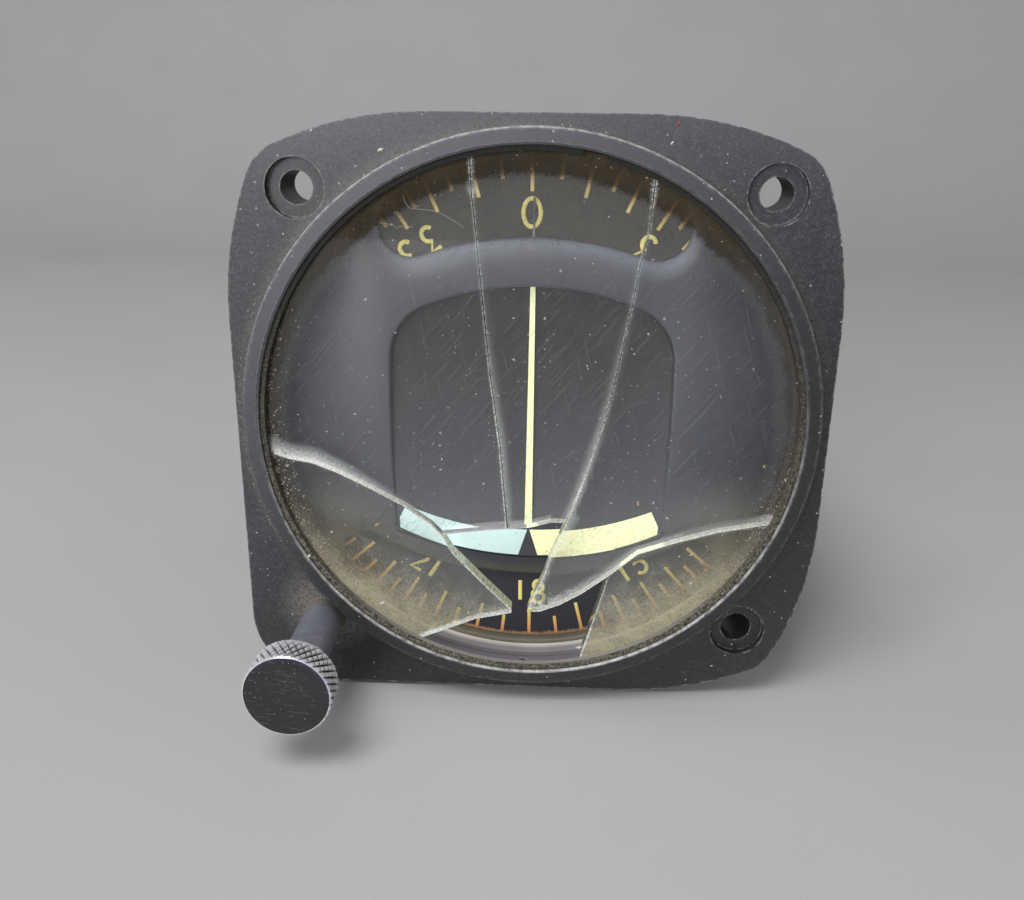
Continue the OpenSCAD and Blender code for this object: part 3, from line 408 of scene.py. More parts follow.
# The plate is cut into a grid, fine enough for its points to carry the marks of the cracks.
cell, cell_shift, cells_out = 0.7, 0.13, 53
for axis in (Vector((1, 0, 0)), Vector((0, 0, 1))):
    for step in range(-cells_out, cells_out + 1):
        everything = form.verts[:] + form.edges[:] + form.faces[:]
        cut = axis * (step * cell + cell_shift) * MM
        bmesh.ops.bisect_plane(form, geom=everything, dist=1e-7, plane_co=cut, plane_no=axis)
waiting = set(form.verts)
shard_names = {}
while waiting:
    members = [waiting.pop()]
    for vertex in members:
        for line in vertex.link_edges:
            other = line.other_vert(vertex)
            if other in waiting:
                waiting.discard(other)
                members.append(other)
    x = sum(v.co.x for v in members) / len(members) / MM
    z = sum(v.co.z for v in members) / len(members) / MM
    if z < -14:
        name = "low_left" if x < 0 else "low_right"
    else:
        name = "left" if x < -9 else "right" if x > 11 else "middle"
    for vertex in members:
        shard_names[vertex] = name
form.verts.index_update()
shard_names = {vertex.index: name for vertex, name in shard_names.items()}
# Places along the front edges of the broken faces, apart from the rim of the plate.
front_cracks = []
glass_face, inside_rim, crack_steps = -10.6, 37.0, 12
for face in form.faces:
    if abs(face.normal.y) < 0.5:
        for line in face.edges:
            a, b = (v.co / MM for v in line.verts)
            middle = (a + b) / 2
            if max(a.y, b.y) < glass_face and math.hypot(middle.x, middle.z) < inside_rim:
                front_cracks += [a.lerp(b, i / crack_steps) for i in range(crack_steps + 1)]
form.to_mesh(mesh)
form.free()
mesh.shade_flat()
crack_tree = kdtree.KDTree(len(front_cracks))
for number, p in enumerate(front_cracks):
    crack_tree.insert((p.x, 0.0, p.z), number)
crack_tree.balance()


keys = ("gap", "front_line", "haze", "crush")
for key in keys:
    mesh.attributes.new(key, "FLOAT", "POINT")
layers = [mesh.attributes[key].data for key in keys]
for vertex in mesh.vertices:
    x, _, z = vertex.co / MM
    nearest, _, gap = crack_tree.find((x, 0.0, z))
    line, haze, width, crushed = breakage(shard_names[vertex.index], nearest.x, nearest.z)
    shattered = math.exp(-((x - 0.3) / 0.8) ** 2 - ((z + 28.2) / 0.8) ** 2)
    shattered = max(shattered, 0.55 * math.exp(-((x + 7.9) / 0.5) ** 2 - ((z - 31.6) / 0.8) ** 2))
    haze = max(haze * max(0.0, 1.0 - gap / width) ** 1.3, 0.8 * shattered)
    for layer, value in zip(layers, (gap, line, haze, crushed)):
        layer[vertex.index].value = value

finish, tree, place, shader = new_finish("dusty_cracked_plate_glass")
radius = axis_radius(tree, place)
axes = add(tree, "SeparateXYZ", place).node.outputs
clouds = add(tree, "TexNoise", place, 0.3, 7.0, 0.65)
clouds = add(tree, "MapRange", clouds, 0.3, 0.7, 0.6, 1.4)
fine = add(tree, "TexNoise", place, 3.2, 6.0, 0.8)
grainy = add(tree, "MapRange", fine, 0.36, 0.64, 0.6, 1.45)
rim, wide, low, high = (
    add(tree, "MapRange", *span, interpolation_type="SMOOTHSTEP") for span in (
        (radius, 32.8, 37.0), (radius, 22.0, 35.0), (axes[2], -8.0, -27.0), (axes[2], 18.0, 27.0),
    )
)
low_rim = add(tree, "MULTIPLY", low, wide)
# Along the top rim the film stands for dust and painted shade under the collar.
high_rim_dust_and_shade = add(tree, "MULTIPLY", high, rim)
film = 0.012
for zone, share in ((rim, 0.22), (low_rim, 0.46), (low, 0.13), (high, 0.05), (high_rim_dust_and_shade, 0.30)):
    film = add(tree, "MULTIPLY_ADD", zone, share, film)
film = mask_of(tree, film, clouds, grainy)
# Dust sits in grains that crowd towards the rim.
crowd = add(tree, "MULTIPLY", low_rim, 0.08)
crowd = add(tree, "MULTIPLY_ADD", rim, 0.10, crowd)
crowd = add(tree, "SUBTRACT", 0.74, crowd)
grains = add(tree, "SUBTRACT", fine, crowd)
grains = add(tree, "MapRange", grains, 0.0, 0.04, 0.0, 0.24)
dim = add(tree, "MapRange", high, 0.0, 1.0, 1.0, 0.3)
film = add(tree, "MULTIPLY_ADD", grains, dim, film)
# Wiping has left fine slanting lines, and small pale specks lie all over.
wiped = hairlines(tree, place, -50.0, 7.0, 0.14, 0.62, 0.76)
wiped_left = hairlines(tree, place, 75.0, 6.0, 0.13, 0.66, 0.78)
wiped_across = hairlines(tree, place, -12.0, 4.0, 0.12, 0.70, 0.78)
wiped = add(tree, "MAXIMUM", wiped, wiped_left)
wiped = add(tree, "MAXIMUM", wiped, wiped_across)
wiped = add(tree, "MULTIPLY", wiped, dim)
# The specks are stretched at random by bending the place where they are looked up.
bent = add(tree, "TexNoise", place, 1.1, 2.0).node.outputs["Color"]
bent = add(tree, "VectorMath", bent, (0.9, 0.9, 0.9), place, operation="MULTIPLY_ADD")
specks = flecks(tree, bent, 0.5, 0.16, 0.16)
powder = flecks(tree, bent, 3.4, 0.3, 0.055)
dots = flecks(tree, bent, 1.3, 0.22, 0.10)
dots = mask_of(tree, dots, (clouds, 0.8, 1.2, 0.15, 0.8))
specks = add(tree, "MAXIMUM", specks, dots)
for marks, share in ((wiped, 0.13), (specks, 0.55), (powder, 0.16)):
    film = add(tree, "MULTIPLY_ADD", marks, share, film)
normal = add(tree, "NewGeometry").node.outputs["True Normal"]
facing = add(tree, "SeparateXYZ", normal).node.outputs
across = add(tree, "ABSOLUTE", facing[1])
broken = add(tree, "MapRange", across, 0.6, 0.5)
front = add(tree, "MapRange", axes[1], -10.3, -10.6)
flat_front = add(tree, "SUBTRACT", front, broken, use_clamp=True)
film = add(tree, "MULTIPLY", film, flat_front)
# The hackle of a broken face runs across the thickness of the plate.
streaks = add(tree, "VectorMath", place, (1.0, 0.16, 1.0), operation="MULTIPLY")
streaks = add(tree, "TexNoise", streaks, 2.6, 7.0, 0.75)
gap, line, haze, crush = (
    add(tree, "Attribute", attribute_name=key).node.outputs["Fac"] for key in keys
)
arris = add(tree, "ABSOLUTE", add(tree, "ADD", axes[1], 9.5))
crush = mask_of(
    tree, crush, (streaks, 0.36, 0.66, 0.3, 1.5), (arris, 0.9, 1.1, 1.0, 1.9), broken,
)
line = mask_of(tree, line, (gap, 0.28, 0.08), (fine, 0.43, 0.57, 0.2, 1.15))
haze = add(tree, "MULTIPLY", haze, grainy)
bruised = add(tree, "MAXIMUM", haze, line)
bruised = add(tree, "MULTIPLY", bruised, flat_front)
white = add(tree, "MAXIMUM", crush, bruised)
cover = add(tree, "MAXIMUM", film, white)
cover = add(tree, "MINIMUM", cover, 0.92)
# Painted shade: the film is dark brown along the top, under the collar, and paler olive low down.
olive = layered(tree, "#7d786e", (low, "#aca68c"), (high, "#5d523d"))
olive = layered(tree, "#a9aaa9", (high, "#5c5546"), (wide, olive), (specks, "#cfcdc6"))
whiter = add(tree, "MapRange", white, 0.04, 0.12)
up_facing = mask_of(tree, (facing[2], 0.1, 0.4), broken)
shade = layered(tree, olive, (whiter, "#eef0ee"), (up_facing, "#d3d5b8"))
tinge = add(tree, "MULTIPLY", cover, 6.0, use_clamp=True)
shade = add(tree, "Mix", tinge, (1.0, 1.0, 1.0, 1.0), shade, data_type="RGBA")
clear = add(tree, "SUBTRACT", 1.0, cover)
fill(shader, shade, Transmission_Weight=clear, Roughness=0.015, IOR=1.5, Specular_IOR_Level=0.3)
lamp_ray = add(tree, "LightPath").node.outputs["Is Shadow Ray"]
through = add(tree, "Mix", cover, (0.95, 0.96, 0.95, 1.0), (0.3, 0.3, 0.28, 1.0), data_type="RGBA")
open_shader = add(tree, "BsdfTransparent", through)
both = add(tree, "MixShader", lamp_ray, shader.outputs[0], open_shader)
fill(tree.nodes["Material Output"], both)
dress(finish, "cover_glass")
mesh.materials.clear()
mesh.materials.append(finish)
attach(shards, "frame")
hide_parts("cover_glass")

# Gasket and spacer.
# Moulded rubber ring and turned spacer ring that keep the glass off the mask. Both are painted
# light at the foot, where the glass is missing and the light falls on them, and darker above:
# painted light and shade.
finish, tree, place, shader = new_finish("moulded_black_rubber")
bloom = add(tree, "TexNoise", place, 1.2, 4.0)
shade = add(tree, "Mix", bloom, "#6c696d", "#79767a", data_type="RGBA")
# Painted light and shade: the rubber is light only at the foot, where the light falls on it, and
# dark above.
foot = add(tree, "SeparateXYZ", place).node.outputs[2]
foot = add(tree, "MapRange", foot, -20.0, -29.0)
shade = add(tree, "Mix", foot, "#3c3a3c", shade, data_type="RGBA")
fill(shader, shade, Roughness=0.8)
dress(finish, "glass_gasket", "case_seal")

finish, tree, place, shader = new_finish("matt_grey_spacer_paint")
bloom = add(tree, "TexNoise", place, 0.8, 6.0, 0.7)
axes = add(tree, "SeparateXYZ", place).node.outputs
# Painted highlight: bright towards the back edge, where the curved wall catches the light.
inner = add(tree, "MapRange", axes[1], -6.9, -5.6, interpolation_type="SMOOTHSTEP")
shade = layered(tree, "#8b878c", (bloom, "#9b979a"), (inner, "#dbd3d0"))
# Painted light and shade: light only at the foot, where the light falls on it, and dark above.
foot = add(tree, "MapRange", axes[2], -20.0, -29.0)
shade = add(tree, "Mix", foot, "#4f4c50", shade, data_type="RGBA")
fill(shader, shade, Roughness=0.55)
dress(finish, "glass_spacer")


# Dial mask.
# Phenolic moulding, satin slate, with soft lips that lead down into both windows and a
# scooped pocket for the pointer whose floor is a darker matt black.
def circle_line(centre, radius, start, end, count):
    """Points on an arc; angles in degrees run clockwise from straight up."""
    turns = [math.radians(start + (end - start) * i / count) for i in range(count + 1)]
    return [(centre[0] + radius * math.sin(t), centre[1] + radius * math.cos(t)) for t in turns]


mask_front, mask_back, mask_r = -5.3, -4.0, 37.25
window_r, window_far, window_arc = 36.1, 21.5, 46.65
lip_depth, lip_width, lip_steps, end_steps = 0.85, 3.3, 9, 28


def window_rings(end_angle, sign):
    """Rings of points from the edge of a window out over its lip."""
    c = math.cos(math.radians(end_angle))
    end_r = (window_r ** 2 + window_far ** 2 + 2 * window_far * window_r * c - window_arc ** 2)
    end_r /= 2 * window_arc + 2 * window_r + 2 * window_far * c
    end = ((window_r - end_r) * math.sin(math.radians(end_angle)), (window_r - end_r) * c)
    inner = math.degrees(math.atan2(end[0], end[1] + window_far))
    edge = []

    def round_end(hand, shares):
        """The rounded end on one hand, along which the lip narrows."""
        for share in shares:
            t = math.radians(inner + 180 + (end_angle - inner - 180) * share)
            n = Vector((hand * math.sin(t), math.cos(t)))
            p = (hand * end[0] + end_r * n[0], end[1] + end_r * n[1])
            edge.append((p, n, 1.0 - 0.93 * share ** 1.5))

    for p in circle_line((0, -window_far), window_arc, -inner, inner, 60):
        edge.append((p, Vector((-p[0], -window_far - p[1])).normalized(), 1.0))
    shares = [i / end_steps for i in range(1, end_steps)]
    round_end(1, shares)
    for p in circle_line((0, 0), window_r, end_angle, -end_angle, 90):
        edge.append((p, Vector(p).normalized(), 0.07))
    round_end(-1, [1 - share for share in shares])
    rings = [[(p[0], mask_back, sign * p[1]) for p, n, w in edge]]
    for step in range(lip_steps + 1):
        out = step / lip_steps
        depth = lip_depth * (1 - out) ** 2
        rings.append([
            (p[0] + n[0] * lip_width * w * out, mask_front + depth * min(1.0, w + 0.25),
             sign * (p[1] + n[1] * lip_width * w * out))
            for p, n, w in edge
        ])
    return rings


pocket_low, pocket_middle, pocket_top, scoop_depth = -21.8, -3.0, 18.6, 2.2
# The bend at each upper corner runs smoothly into the top arc and the side arc.
pocket_bend_x, pocket_bend_z, pocket_bend_r = 11.899, 8.305, 8.0
pocket_top_arc, pocket_low_arc, pocket_side_arc, pocket_side = 40.0, 50.0, 350.4, 330.4


def in_pocket(x, z, grow=0.0):
    """Signed distance to the outline of the pocket."""
    across, up = abs(x) - pocket_bend_x, z - pocket_bend_z
    rise = pocket_bend_z - pocket_top + pocket_top_arc
    under_top = across * rise > up * pocket_bend_x
    in_bend = under_top and up * (pocket_bend_x + pocket_side) > across * pocket_bend_z
    return max(
        math.hypot(x, z - pocket_top + pocket_top_arc) - pocket_top_arc - grow,
        math.hypot(abs(x) + pocket_side, z) - pocket_side_arc - grow,
        math.hypot(x, z - (pocket_low + pocket_low_arc)) - pocket_low_arc - grow,
        math.hypot(across, up) - pocket_bend_r - grow if in_bend else -pocket_bend_r,
    )


def pocket_edge(count):
    """Points round the pocket, found along rays from its middle."""
    found, halvings = [], 40
    for i in range(count):
        t = 2 * math.pi * i / count
        near, far = 0.0, mask_r + 2.75
        for _ in range(halvings):
            mid = (near + far) / 2
            inside = in_pocket(mid * math.sin(t), pocket_middle + mid * math.cos(t)) < 0
            near, far = (mid, far) if inside else (near, mid)
        found.append((near * math.sin(t), pocket_middle + near * math.cos(t)))
    return found


pocket_steps = 240
edge = pocket_edge(pocket_steps)
normals = []
for i in range(pocket_steps):
    along = (Vector(edge[(i + 2) % pocket_steps]) - Vector(edge[i - 2])).normalized()
    normals.append(Vector((-along[1], along[0])))
# The wall of the pocket: how far out of its outline each ring lies, and how deep.
pocket_rings = []
for out, share in (
    (0.45, 0.0), (0.2, 0.03), (0.05, 0.12), (0.0, 0.3), (-0.05, 0.75), (-0.18, 0.95), (-0.4, 1.0),
):
    ring = []
    for p, n in zip(edge, normals):
        depth = scoop_depth * max(0.0, p[1] - pocket_low) / (pocket_top - pocket_low)
        fade = min(1.0, 0.15 + depth / 0.6)
        moved = out * fade
        ring.append((p[0] + n[0] * moved, mask_front + depth * share, p[1] + n[1] * moved))
    pocket_rings.append(ring)
form = bmesh.new()


def bands(rings):
    """Lays rings of points, joins each to the next and returns them."""
    rows = [[form.verts.new(Vector(p) * MM) for p in ring] for ring in rings]
    for first, second in zip(rows, rows[1:]):
        for i in range(len(first)):
            j = (i + 1) % len(first)
            form.faces.new((first[i], first[j], second[j], second[i]))
    return rows


upper_end, lower_end, rim_steps = 32.2, 48.5, 180
outlines = [bands(window_rings(upper_end, 1))[-1], bands(window_rings(lower_end, -1))[-1]]
pocket_rows = bands(pocket_rings)
around = [2 * math.pi * i / rim_steps for i in range(rim_steps)]
rim_rows = bands([
    [(mask_r * math.sin(t), y, mask_r * math.cos(t)) for t in around]
    for y in (mask_back, mask_front)
])
outlines += [pocket_rows[0], rim_rows[-1]]
edges = []
for line in outlines:
    for i in range(len(line)):
        pair = (line[i], line[(i + 1) % len(line)])
        edges.append(form.edges.get(pair) or form.edges.new(pair))
bmesh.ops.triangle_fill(form, use_beauty=True, use_dissolve=False, edges=edges)
form.faces.new(pocket_rows[-1]).material_index = 1
for face in form.faces:
    middle = face.calc_center_median() / MM
    if len(face.verts) < 5 and in_pocket(middle.x, middle.z, 0.03) < 0:
        face.material_index = 1
bmesh.ops.recalc_face_normals(form, faces=form.faces)
mesh = bpy.data.meshes.new("mask_moulding")
form.to_mesh(mesh)
form.free()
mesh.shade_smooth()
mask = put("mask_moulding", mesh)
if sum(face.normal.y for face in mesh.polygons if len(face.vertices) == 3) > 0:
    mesh.flip_normals()

finish, tree, place, shader = new_finish("satin_slate_phenolic")
tone = add(tree, "TexNoise", place, 0.08, 3.0)
specks = flecks(tree, place, 0.7, 0.2, 0.12)
# Brown rust dust has settled along the foot, beside the rim of the card.
radius = axis_radius(tree, place)
axes = add(tree, "SeparateXYZ", place).node.outputs
rusty = mask_of(tree, (radius, 35.7, 36.1), (axes[2], -24.0, -31.0, 0.0, 0.9))
# Fine olive dust lies over the whole foot of the mask, so that the window stands out dark.
veiled = mask_of(tree, (axes[2], -6.0, -19.0, 0.0, 0.7), (radius, 23.0, 32.0))
# Painted sheen: the lips are painted lighter as they slope down into the windows, blue-grey round
# the upper window and olive round the lower one.
lip_sheen = add(tree, "MapRange", axes[1], -5.29, -4.8, 0.0, 0.75)
high = add(tree, "MapRange", axes[2], -5.0, 5.0)
lip_sheen_colour = add(tree, "Mix", high, "#5a5b53", "#6c6f7c", data_type="RGBA")
shade = layered(
    tree, "#2c2e36", (tone, "#363841"), (specks, "#84858a"), (rusty, "#6f5e4d"),
    (veiled, "#656256"), (lip_sheen, lip_sheen_colour),
)
satin = add(tree, "TexNoise", place, 0.4, 5.0)
rough = add(tree, "MapRange", satin, 0.0, 1.0, 0.45, 0.55)
fill(shader, shade, Roughness=rough)
mask.data.materials.append(finish)
slate = finish

finish, tree, place, shader = new_finish("matt_black_pocket_floor")
fine = add(tree, "TexNoise", place, 1.4, 6.0)
# Painted shade: the floor is painted dark under the top wall of the scoop and lighter towards its
# foot.
painted_shade_gradient = add(tree, "SeparateXYZ", place).node.outputs[2]
painted_shade_gradient = add(tree, "MapRange", painted_shade_gradient, 12.0, -19.0, 0.0, 0.65)
specks = flecks(tree, place, 1.0, 0.2, 0.12)
shade = layered(tree, "#0e0f11", (fine, "#17181a"), (painted_shade_gradient, "#45474d"), (specks, "#7a7b7c"))
fill(shader, shade, Roughness=0.78)
mask.data.materials.append(finish)
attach(mask, "frame")
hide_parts("dial_mask")
dress(slate, "dial_mask")

# Course sectors.
# Two thin celluloid-painted bands let into the foot of the pocket, blue left, yellow right.
finish, tree, place, shader = new_finish("sector_paint")
axes = add(tree, "SeparateXYZ", place).node.outputs
right = add(tree, "MapRange", axes[0], -0.2, 0.2)
mottle = add(tree, "TexNoise", place, 0.6, 7.0, 0.65)
yellow = add(tree, "Mix", mottle, "#eeefb0", "#f8f8cc", data_type="RGBA")
specks = flecks(tree, place, 1.1, 0.15, 0.12)
shade = layered(tree, "#b9d6d5", (mottle, "#cfe3df"), (right, yellow), (specks, "#8f9488"))
fill(shader, shade, Roughness=0.6)
dress(finish, "course_sectors")

# Index line.
# Fine line at the foot of the upper window, painted grey and now dull.
finish, tree, place, shader = new_finish("dull_grey_index_paint")
mottle = add(tree, "TexNoise", place, 2.0, 3.0)
axes = add(tree, "SeparateXYZ", place).node.outputs
foot = add(tree, "MapRange", axes[2], 27.4, 26.2)
shade = layered(tree, "#3c3c3c", (mottle, "#4a4a48"), (foot, "#7c7e84"))
fill(shader, shade)
dress(finish, "lubber_line")

# Azimuth card.
# Aluminium disc sprayed matt black. The scale is screened on in a yellow that has turned
# orange-brown towards the rim, where the edge of the card is rusty brown with old grease; along
# the top the rim is painted dark, a painted shade.
finish, tree, place, shader = new_finish("matt_black_card")
radius = axis_radius(tree, place)
mottle = add(tree, "TexNoise", place, 0.5, 6.0)
ragged = add(tree, "TexNoise", place, 1.6, 6.0, 0.7)
outward = add(tree, "MULTIPLY_ADD", ragged, 1.3, radius)
axes = add(tree, "SeparateXYZ", place).node.outputs
# Painted shade: the rust is laid mainly on the low half of the rim, and the upper rim stays dark.
rust_and_top_shade = mask_of(tree, (outward, 36.2, 36.5), (axes[2], 5.0, -12.0, 0.1))
dusty = mask_of(tree, (axes[2], 14.0, 25.0), mottle)
rust = add(tree, "Mix", ragged, "#6d4533", "#b08c6c", data_type="RGBA")
shade = layered(tree, "#1d1d24", (mottle, "#2b2a32"), (dusty, "#39331f"), (rust_and_top_shade, rust))
fill(shader, shade, Roughness=0.6)
dress(finish, "azimuth_card")

finish, tree, place, shader = new_finish("browned_yellow_scale_ink")
radius = axis_radius(tree, place)
outward = add(tree, "MapRange", radius, 30.6, 35.6)
mottle = add(tree, "TexNoise", place, 1.6, 5.0)
orange = add(tree, "Mix", mottle, "#bd7a48", "#cf9458", data_type="RGBA")
axes = add(tree, "SeparateXYZ", place).node.outputs
# Near the rim in the upper window the ink is painted dark brown: wear and dust, and painted shade
# under the upper edge of the mask.
worn_and_shaded = mask_of(tree, (radius, 32.0, 34.6), (axes[2], 10.0, 24.0, 0.0, 0.7))
shade = layered(tree, "#dccd70", (mottle, "#ebe08c"), (outward, orange), (worn_and_shaded, "#4b3a26"))
fill(shader, shade, Roughness=0.6)
scale_ink = finish

# The graduations are not quite even: they open out round the four main headings.
card_front, ink_rise = -3.7, 0.05
tick_out, tick_width, long_tick, short_tick = 35.8, 0.48, 4.6, 2.8
fourth_swing, eighth_swing, scale_turn = (math.radians(angle) for angle in (4.0, 0.7, 0.6))


def new_maker(name, whole, real):
    """A node tree that makes a mesh from whole and real numbers and a finish."""
    tree = bpy.data.node_groups.new(name, "GeometryNodeTree")
    tree.interface.new_socket("Geometry", in_out="OUTPUT", socket_type="NodeSocketGeometry")
    for kind, labels in (("Int", whole), ("Float", real), ("Material", ["Finish"])):
        for label in labels:
            tree.interface.new_socket(label, in_out="INPUT", socket_type="NodeSocket" + kind)
    return tree, add(tree, "NodeGroupInput").node.outputs


def end_maker(tree, placed, finish):
    """Makes the placed copies real, gives them their finish and ends the tree."""
    real = add(tree, "GeometryNodeRealizeInstances", placed)
    coated = add(tree, "GeometryNodeSetMaterial", real, Material=finish)
    add(tree, "NodeGroupOutput", coated)


marks, given = new_maker("ring_of_marks", ["Count"], [
    "First angle", "Fourth swing", "Eighth swing", "Turn", "Outer radius", "Length", "Width",
    "Thickness",
])
seats = add(marks, "GeometryNodePoints", given["Count"])
size = add(marks, "CombineXYZ", given["Width"], given["Length"], given["Thickness"])
bar = add(marks, "GeometryNodeMeshCube", size)
half = add(marks, "MULTIPLY_ADD", given["Length"], -0.5, given["Outer radius"])
shift = add(marks, "CombineXYZ", 0.0, half)
bar = add(marks, "GeometryNodeTransform", bar, Translation=shift)
index = add(marks, "GeometryNodeInputIndex")
pitch = add(marks, "DIVIDE", 2 * math.pi, given["Count"])
turn_by = add(marks, "MULTIPLY_ADD", index, pitch, given["First angle"])
swung = add(marks, "ADD", turn_by, given["Turn"])
for times, swing in ((4.0, given["Fourth swing"]), (8.0, given["Eighth swing"])):
    wave = add(marks, "SINE", add(marks, "MULTIPLY", turn_by, times))
    swung = add(marks, "MULTIPLY_ADD", wave, swing, swung)
spin = add(marks, "CombineXYZ", 0.0, 0.0, swung)
placed = add(marks, "GeometryNodeInstanceOnPoints", seats, Instance=bar, Rotation=spin)
end_maker(marks, placed, given["Finish"])


def grow(name, tree, values):
    """Runs a node tree on an empty mesh and returns its result as a plain mesh object."""
    sockets = {item.name: item.identifier for item in tree.interface.items_tree}
    piece = put(name, bpy.data.meshes.new(name))
    maker = piece.modifiers.new("maker", "NODES")
    maker.node_group = tree
    for key, value in values.items():
        maker[sockets[key]] = value
    piece.update_tag()
    return settle(piece)


stand_up = Matrix.Rotation(math.radians(90), 4, "X")
half_step = math.radians(5)
for name, length, first in (
    ("long_ticks", long_tick, 0.0), ("short_ticks", short_tick, half_step),
):
    ticks = grow(name, marks, {
        "Count": 36, "First angle": first, "Fourth swing": fourth_swing,
        "Eighth swing": eighth_swing, "Turn": scale_turn, "Outer radius": tick_out * MM,
        "Length": length * MM, "Width": tick_width * MM, "Thickness": ink_rise * MM,
        "Finish": scale_ink,
    })
    ticks.data.transform(Matrix.Translation((0, (card_front - ink_rise / 2) * MM, 0)) @ stand_up)
    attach(ticks, "azimuth_card")


def bow(cx, cy, rx, ry, start, end, count=14):
    """Points on an ellipse; angles in degrees from the right, counter-clockwise."""
    turns = [math.radians(start + (end - start) * i / count) for i in range(count + 1)]
    return [(cx + rx * math.cos(t), cy + ry * math.sin(t)) for t in turns]


# Each digit is drawn with a round pen in a cell one unit wide and one high.
digits = {
    "0": [bow(0.5, 0.5, 0.5, 0.5, 90, 450, 28)],
    "1": [[(0.5, 0.0), (0.5, 1.0)]],
    "2": [bow(0.48, 0.72, 0.42, 0.28, 165, -30, 12) + [(0.04, 0.0), (0.96, 0.0)]],
    "3": [[(0.08, 1.0), (0.92, 1.0), (0.46, 0.6)] + bow(0.45, 0.3, 0.48, 0.3, 85, -150, 14)],
    "4": [[(0.7, 0.0), (0.7, 1.0), (0.02, 0.3), (1.0, 0.3)]],
    "5": [[(0.88, 1.0), (0.2, 1.0), (0.12, 0.56)] + bow(0.44, 0.33, 0.5, 0.33, 130, -145, 16)],
    "6": [[(0.78, 1.0), (0.3, 0.7)] + bow(0.5, 0.3, 0.47, 0.3, 150, 510, 24)],
    "7": [[(0.04, 1.0), (0.96, 1.0), (0.35, 0.0)]],
    "8": [bow(0.5, 0.76, 0.38, 0.24, 90, 450, 22), bow(0.5, 0.27, 0.48, 0.27, 90, 450, 24)],
    "9": [[(0.22, 0.0), (0.7, 0.3)] + bow(0.5, 0.7, 0.47, 0.3, -30, 330, 24)],
}
digit_high, digit_wide, zero_high, zero_wide, pen = 3.3, 1.85, 3.75, 2.35, 0.62
digit_middle = 28.4
usual_pitch = 2.8
digit_pitch = {"33": 3.6, "21": 2.45, "12": 2.45, "15": 2.75}


def pen_curve(name, width, rounding):
    """An empty curve for a round pen to follow."""
    curve = bpy.data.curves.new(name, "CURVE")
    curve.dimensions = "3D"
    curve.bevel_depth = width / 2
    curve.bevel_resolution = rounding
    return curve


def stroke(curve, kind, line):
    """Adds a line of points to a curve."""
    spline = curve.splines.new(kind)
    spline.points.add(len(line) - 1)
    for point, spot in zip(spline.points, line):
        point.co = (*spot, 1.0)
    return spline


def drawn(name, curve, moved, finish):
    """The piece that the pen leaves along a curve, moved to its place."""
    path = put(name + "_path", curve)
    mesh = result_of(path, name)
    bpy.data.objects.remove(path)
    mesh.transform(moved)
    mesh.materials.clear()
    mesh.materials.append(finish)
    return put(name, mesh)


strokes = pen_curve("numerals", pen, 2)
strokes.use_fill_caps = True
for tens in range(0, 36, 3):
    theta = math.radians(tens * 10)
    theta += fourth_swing * math.sin(4 * theta) + eighth_swing * math.sin(8 * theta) - scale_turn
    text = str(tens)
    for column, digit in enumerate(text):
        offset = (column - (len(text) - 1) / 2) * digit_pitch.get(text, usual_pitch)
        wide = zero_wide if text == "0" else digit_wide
        high = zero_high if text == "0" else digit_high
        for line in digits[digit]:
            spots = []
            for u, v in line:
                px = offset + (u - 0.5) * wide
                away = digit_middle - (v - 0.5) * high
                x = away * math.sin(theta) - px * math.cos(theta)
                z = away * math.cos(theta) + px * math.sin(theta)
                spots.append((x, z, 0.0))
            stroke(strokes, "POLY", spots)
on_card = Matrix.Translation((0, card_front * MM, 0)) @ stand_up @ Matrix.Scale(MM, 4)
flatten = Matrix.Diagonal((1.0, 1.0, ink_rise * 2 / pen, 1.0))
numerals = drawn("numerals", strokes, on_card @ flatten, scale_ink)
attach(numerals, "azimuth_card")

# Pointer.
# Light aluminium strip painted matt yellow-green, with the moving coil behind the mask.
finish, tree, place, shader = new_finish("matt_pointer_paint")
mottle = add(tree, "TexNoise", place, 0.9, 5.0)
shade = add(tree, "Mix", mottle, "#d8e0a2", "#e4eaba", data_type="RGBA")
fill(shader, shade, Roughness=0.6)
dress(finish, "course_needle")

# Knob and shaft.
# Turned aluminium: the knurled rim and the bevel stay bright, with dirt in the grooves. The
# face is anodised black, with a violet tinge beside the bright bevel.
finish, tree, place, shader = new_finish("turned_aluminium_black_face")
knob_front = -30.55
axes = add(tree, "SeparateXYZ", place).node.outputs
radius = axis_radius(tree, place, knob_x, knob_z)
face = mask_of(tree, (radius, 5.73, 5.68), (axes[1], knob_front + 0.12, knob_front + 0.05))
grime = add(tree, "TexNoise", place, 1.5, 8.0, 0.7)
upper = add(tree, "VectorMath", place, (0.35, 0.0, 0.94), operation="DOT_PRODUCT")
fringe = mask_of(tree, (radius, 5.1, 5.65), (upper, -40.0, -36.0))
rubbed = axis_radius(tree, place, knob_x + 0.6, knob_z + 1.6)
pits = add(tree, "TexNoise", place, 4.0, 4.0, 0.7)
pits = mask_of(tree, (pits, 0.56, 0.68), (rubbed, 3.2, 0.6))
scattered = flecks(tree, place, 1.3, 0.3, 0.12)
lines = hairlines(tree, place, 6.0, 3.0, 0.09, 0.7, 0.75)
marks_on_face = add(tree, "MAXIMUM", scattered, lines)
marks_on_face = add(tree, "MAXIMUM", marks_on_face, pits)
marks_on_face = add(tree, "MULTIPLY", marks_on_face, 0.55)
dark = layered(
    tree, "#1c1c1e", (grime, "#2e2e30"), (fringe, "#35264f"), (marks_on_face, "#8b8789"),
)
groove = mask_of(tree, (radius, 5.88, 5.68), (axes[1], knob_front + 0.18, knob_front + 0.3))
dull = add(tree, "MapRange", grime, 0.42, 0.7, 0.0, 0.6)
shade = layered(tree, "#f6f6fa", (dull, "#a8a6a4"), (groove, "#2a2a2d"), (face, dark))
